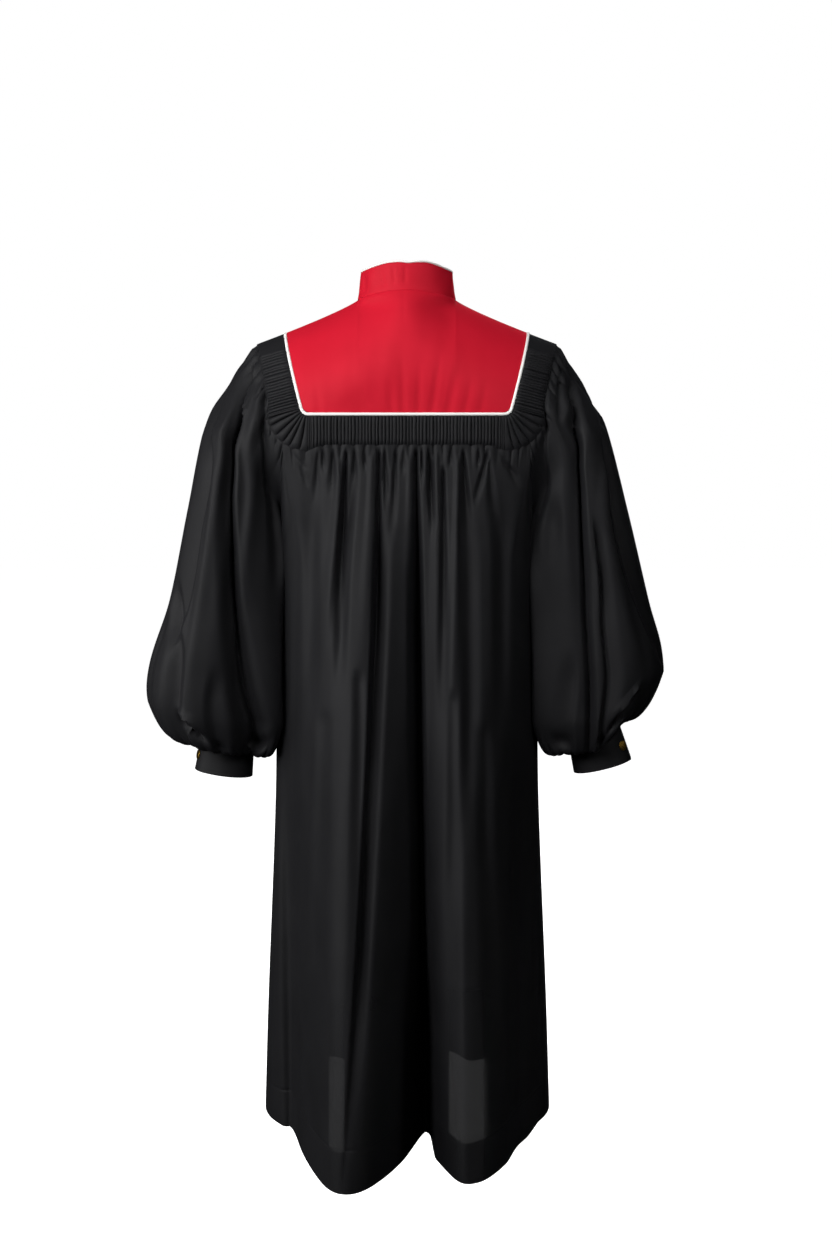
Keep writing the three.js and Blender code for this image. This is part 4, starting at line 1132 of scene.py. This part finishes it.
def piping_path(start, end, count, side):
    distance = np.linspace(start, end, count)
    mirrored = distance > OUTLINE
    x, z, _, _ = outline(np.where(mirrored, 2 * OUTLINE - distance, distance))
    z = np.minimum(z, top_edge(x, side) - 1e-4)
    return chest_point(np.where(mirrored, -x, x), z, side)


def make_piping(white):
    back = piping_path(0.3, 2 * OUTLINE - 0.3, 420, 1)
    back[:, 1] += 0.3
    declare(tube_piece("yoke_piping_back", back, PIPING, white), "piping_back")
    for name, sign in SIDES:
        front = piping_path(0.3, OUTLINE - 0.1, 220, -1)
        front[:, 0] *= sign
        front[:, 1] -= 0.3
        piece = tube_piece(f"yoke_piping_front_{name}", front, PIPING, white)
        declare(piece, f"piping_front_{name}")


# Fluted band


def flute_edges(flutes, draw):
    """Distances of the valleys between the flutes along half the outline, a little uneven."""
    corner_start = SIDE_STRAIGHT - BAND["corner_reach"]
    corner_end = SIDE_STRAIGHT + CORNER_ARC + BAND["corner_reach"]
    parts = [
        (BAND["plain"], corner_start, flutes["side"]),
        (corner_start, corner_end, flutes["corner"]),
        (corner_end, OUTLINE, flutes["bottom"]),
    ]
    edges = [start + (end - start) * np.arange(count) / count for start, end, count in parts]
    edges = np.concatenate(edges + [[OUTLINE]])
    jitter = draw.uniform(-FLUTE["jitter"], FLUTE["jitter"], len(edges)) * np.gradient(edges)
    jitter[-1] = 0
    return edges + jitter


def flute_samples(edges, draw, samples=8):
    """Columns across each flute, with the raised height at each, and the plain stretch before them."""
    columns, heights = [np.linspace(0, edges[0], 8)[:-1]], [np.zeros(7)]
    for start, end in zip(edges, edges[1:]):
        t = np.arange(samples) / samples
        crest = FLUTE["height"] * draw.uniform(FLUTE["least"], FLUTE["most"])
        columns.append(mix(start, end, t))
        heights.append(crest * np.sin(math.pi * t) ** FLUTE["squareness"])
    columns.append(np.array([edges[-1]]))
    heights.append(np.zeros(1))
    return np.concatenate(columns), np.concatenate(heights)


def band_grid(columns, heights, side, length, mirror=1):
    """Points of the fluted band, pinched where its edges are sewn and turned under past them."""
    distance, across = grid(columns, BAND_ROWS)
    lean = FLUTE["lean"] * np.sin(distance * 0.11) * np.sin(across * math.pi)
    points = band_point(np.clip(distance + lean, 0, length), across, side)
    points[..., 0] *= mirror
    pinch = ease(across * 12) * ease((1 - across) * 10) * 0.75 + 0.25
    under = np.where((across < 0) | (across > 1), -BAND_TURNING, 0.0)
    return points + outward(points, BAND_CENTRE) * (heights[:, None] * pinch + under)[..., None]


def make_band(black):
    draw = np.random.default_rng(5)
    left, left_heights = flute_samples(flute_edges(BACK_FLUTES, draw), draw)
    right, right_heights = flute_samples(flute_edges(BACK_FLUTES, draw), draw)
    columns = np.concatenate([left, 2 * OUTLINE - right[-2::-1]])
    heights = np.concatenate([left_heights, right_heights[-2::-1]])
    points = band_grid(columns, heights, 1, 2 * OUTLINE)
    band = grid_piece("fluted_band_back", points, black, BAND_CENTRE, CUTS["back_band"], BAND_WALL)
    declare(band, "fluting_back")
    for name, sign in SIDES:
        columns, heights = flute_samples(flute_edges(FRONT_FLUTES, draw), draw)
        points = band_grid(columns, heights, -1, OUTLINE, sign)
        cut = CUTS["front_band"]
        front = grid_piece(f"fluted_band_front_{name}", points, black, BAND_CENTRE, cut, BAND_WALL)
        declare(front, f"fluting_front_{name}")


# Back and fronts


def hemmed(points):
    """Adds the turned-up hem to a panel: the cloth rolls under at the edge and runs back up inside."""
    out = outward(points, PANEL_CENTRE)
    lengths = np.linalg.norm(np.diff(points, axis=1), axis=-1)
    height = np.cumsum(lengths[:, ::-1], axis=1)
    every = np.arange(len(points))
    last = points.shape[1] - 1
    extra = []
    for k in range(HEM_ROWS):
        rise = HEM_DEPTH * k / (HEM_ROWS - 1)
        at = np.clip(last - np.array([np.searchsorted(run, rise) for run in height]), 0, last)
        extra.append(points[every, at] - out[every, at] * HEM_GAP)
    return np.concatenate([points, np.stack(extra, axis=1)], axis=1)


def single_layer(points):
    x, z = points[..., 0], points[..., 2]
    clear = np.zeros(x.shape)
    for left, right, left_soft, right_soft, top, bottom, amount in SINGLE_LAYERS:
        across = ease((left - x) / left_soft) * ease((x - right) / right_soft)
        clear = np.maximum(clear, amount * across * ease((top - z) / 16) * ease((z - bottom) / 12))
    clear[:, -HEM_ROWS:] = 0
    return clear


def make_panels(black, sheer):
    band = np.linspace(0, ARMHOLE_SHARE, PANEL_GRID["band"])
    half = np.concatenate([band, np.linspace(ARMHOLE_SHARE, 1, PANEL_GRID["armhole"])[1:]])
    stitches = 1 + (np.array(HEM_STITCHES["rows"]) - HEM_DEPTH) / (GATHER_Z - HEM_Z)
    rows = np.sort(np.concatenate([finer_at_top(PANEL_GRID["top"], PANEL_GRID["rest"]), stitches]))
    across, down = grid(np.concatenate([-half[:0:-1], half]), rows)
    points = hemmed(panel_point(across, down, 1, GATHERS["back"]))
    clear = single_layer(points)
    back = grid_piece("back_panel", points, sheer, PANEL_CENTRE, CUTS["back"], marks=clear)
    declare(back, "back")
    for name, sign in SIDES:
        across, down = grid(half * sign, rows)
        points = hemmed(panel_point(across, down, -1, GATHERS["front"]))
        front = grid_piece(f"front_panel_{name}", points, black, PANEL_CENTRE, CUTS["front"])
        declare(front, f"front_{name}")


# Sleeves, cuffs and buttons


def make_sleeves(black):
    columns = np.arange(SLEEVE_GRID["round"]) / SLEEVE_GRID["round"]
    falls = finer_at_top(SLEEVE_GRID["top"], SLEEVE_GRID["rest"]) * SLEEVE_FALL
    rows = np.concatenate([falls, np.linspace(SLEEVE_FALL, 1, SLEEVE_GRID["under"])[1:]])
    for name, sleeve in (("left", LEFT_SLEEVE), ("right", RIGHT_SLEEVE)):
        share, down = grid(columns, rows)
        points = sleeve_point(sleeve, share, down)
        centre = (sleeve["side"] * SLEEVE_CENTRE["x"], 0, SLEEVE_CENTRE["z"])
        relief = sleeve_relief(sleeve, share, down, points)
        points = points + outward(points, centre, ring=True) * relief[..., None]
        piece = grid_piece(f"sleeve_{name}_shell", points, black, centre, CUTS["sleeve"], ring=True)
        declare(piece, f"sleeve_{name}")
        share, down = grid(np.linspace(0, 1, CUFF_GRID["round"]), np.linspace(0, 1, CUFF_GRID["down"]))
        points = cuff_point(sleeve, share, down)
        cuff = sleeve["cuff"]
        centre = (sleeve["side"] * cuff["x"], cuff["y"], (cuff["top"] + cuff["end"]) / 2)
        piece = grid_piece(f"cuff_{name}_shell", points, black, centre, CUTS["cuff"], CUFF_WALL)
        declare(piece, f"cuff_{name}")


def select_faces(test):
    """Selects the faces of the mesh in edit mode whose centre and normal pass a test."""
    work = bmesh.from_edit_mesh(bpy.context.edit_object.data)
    for face in work.faces:
        face.select_set(bool(test(face)))
    work.select_flush_mode()
    bmesh.update_edit_mesh(bpy.context.edit_object.data)


def make_button(name, sleeve, gold):
    """A shank button: a drum whose face is inset into a rolled rim, a groove and a plain dome."""
    radius = BUTTON["radius"] * MM
    rim = BUTTON["rim"] * MM
    deselect_all()
    bpy.ops.mesh.primitive_cylinder_add(vertices=48, radius=radius, depth=rim, location=(0, 0, rim / 2))
    button = bpy.context.object
    button.name = f"button_{name}_shell"
    bpy.ops.object.mode_set(mode="EDIT")
    for thickness, rise in BUTTON_STEPS:
        select_faces(lambda face: face.normal.z > 0.9 and face.calc_center_median().xy.length < 0.1 * MM)
        bpy.ops.mesh.inset(thickness=thickness * MM, depth=0)
        bpy.ops.transform.translate(value=(0, 0, rise * MM))
    select_faces(lambda face: False)
    bpy.ops.object.mode_set(mode="OBJECT")
    bevel = button.modifiers.new("rolled_edge", "BEVEL")
    bevel.width = BUTTON["edge"] * MM
    bevel.segments = 3
    bevel.limit_method = "ANGLE"
    bevel.angle_limit = math.radians(50)
    apply_modifiers(button)
    share = 1 - LAP["turn"] * LAP["centre"] / (2 * math.pi + LAP["turn"])
    around = np.array([share - 0.004, share, share + 0.004])[:, None]
    along = sleeve["button"]["height"] + np.array([-0.02, 0, 0.02])[None, :]
    patch = cuff_point(sleeve, around, along)
    cuff = sleeve["cuff"]
    out = outward(patch, (sleeve["side"] * cuff["x"], cuff["y"], patch[1, 1, 2]))[1, 1]
    seat = patch[1, 1] + out * (CUFF_WALL / 2 + BUTTON["seat"])
    turn = Vector(out).to_track_quat("Z", "Y").to_matrix().to_4x4()
    button.data.transform(Matrix.Translation(Vector(seat) * MM) @ turn)
    button.data.materials.append(gold)
    activate(button)
    bpy.ops.object.transform_apply(location=True, rotation=True, scale=True)
    bpy.ops.object.shade_smooth_by_angle(angle=math.radians(40))
    declare(button, f"button_{name}")


# Floor, light and camera


def make_studio():
    deselect_all()
    bpy.ops.mesh.primitive_plane_add(size=FLOOR_SIDE * MM, location=(0, 0, FLOOR_Z * MM))
    floor = bpy.context.object
    floor.name = "studio_floor"
    floor.data.materials.append(pale_floor())
    floor.visible_diffuse = False
    floor.visible_glossy = False
    # The white surround is seen, but the light comes from the softboxes alone, so that folds keep depth.
    world = bpy.data.worlds.new("studio_white")
    world.use_nodes = True
    world.node_tree.nodes["Background"].inputs["Color"].default_value = linear("#ffffff")
    world.cycles_visibility.diffuse = False
    world.cycles_visibility.glossy = False
    bpy.context.scene.world = world
    for name, place, target, size, power, spread in SOFTBOXES:
        lamp = bpy.data.lights.new(name, "AREA")
        lamp.size = size
        lamp.energy = power
        lamp.spread = math.radians(spread)
        light = bpy.data.objects.new(name, lamp)
        light.location = place
        # Seen from behind, the robe's edges would mirror this lamp as a white rim.
        light.visible_glossy = name != "front_softbox"
        light.rotation_euler = (Vector(target) - Vector(place)).to_track_quat("-Z", "Y").to_euler()
        bpy.context.scene.collection.objects.link(light)


def make_camera():
    camera = bpy.data.objects.new("camera", bpy.data.cameras.new("camera"))
    camera.location = (CAMERA["x"] * MM, CAMERA["y"] * MM, CAMERA["z"] * MM)
    camera.rotation_euler = (math.radians(90 - CAMERA["pitch"]), 0, math.pi)
    camera.data.lens = CAMERA["lens"]
    camera.data.sensor_width = CAMERA["sensor"]
    bpy.context.scene.collection.objects.link(camera)
    bpy.context.scene.camera = camera


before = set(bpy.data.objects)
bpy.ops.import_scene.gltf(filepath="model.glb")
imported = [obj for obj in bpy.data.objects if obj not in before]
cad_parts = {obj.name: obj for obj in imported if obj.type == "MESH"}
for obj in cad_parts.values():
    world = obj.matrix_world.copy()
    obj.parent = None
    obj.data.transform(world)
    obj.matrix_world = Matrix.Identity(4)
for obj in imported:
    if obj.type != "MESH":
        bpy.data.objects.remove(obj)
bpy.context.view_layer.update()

make_camera()
make_studio()
bpy.context.scene.view_settings.view_transform = "Standard"

black = black_crepe()
sheer_black = black_crepe(sheer=True)
red = red_crepe()
white = white_binding()
gold = gold_brass()

make_collar(red, white)
make_yokes(red)
make_piping(white)
make_band(black)
make_panels(black, sheer_black)
make_sleeves(black)
make_button("left", LEFT_SLEEVE, gold)
make_button("right", RIGHT_SLEEVE, gold)
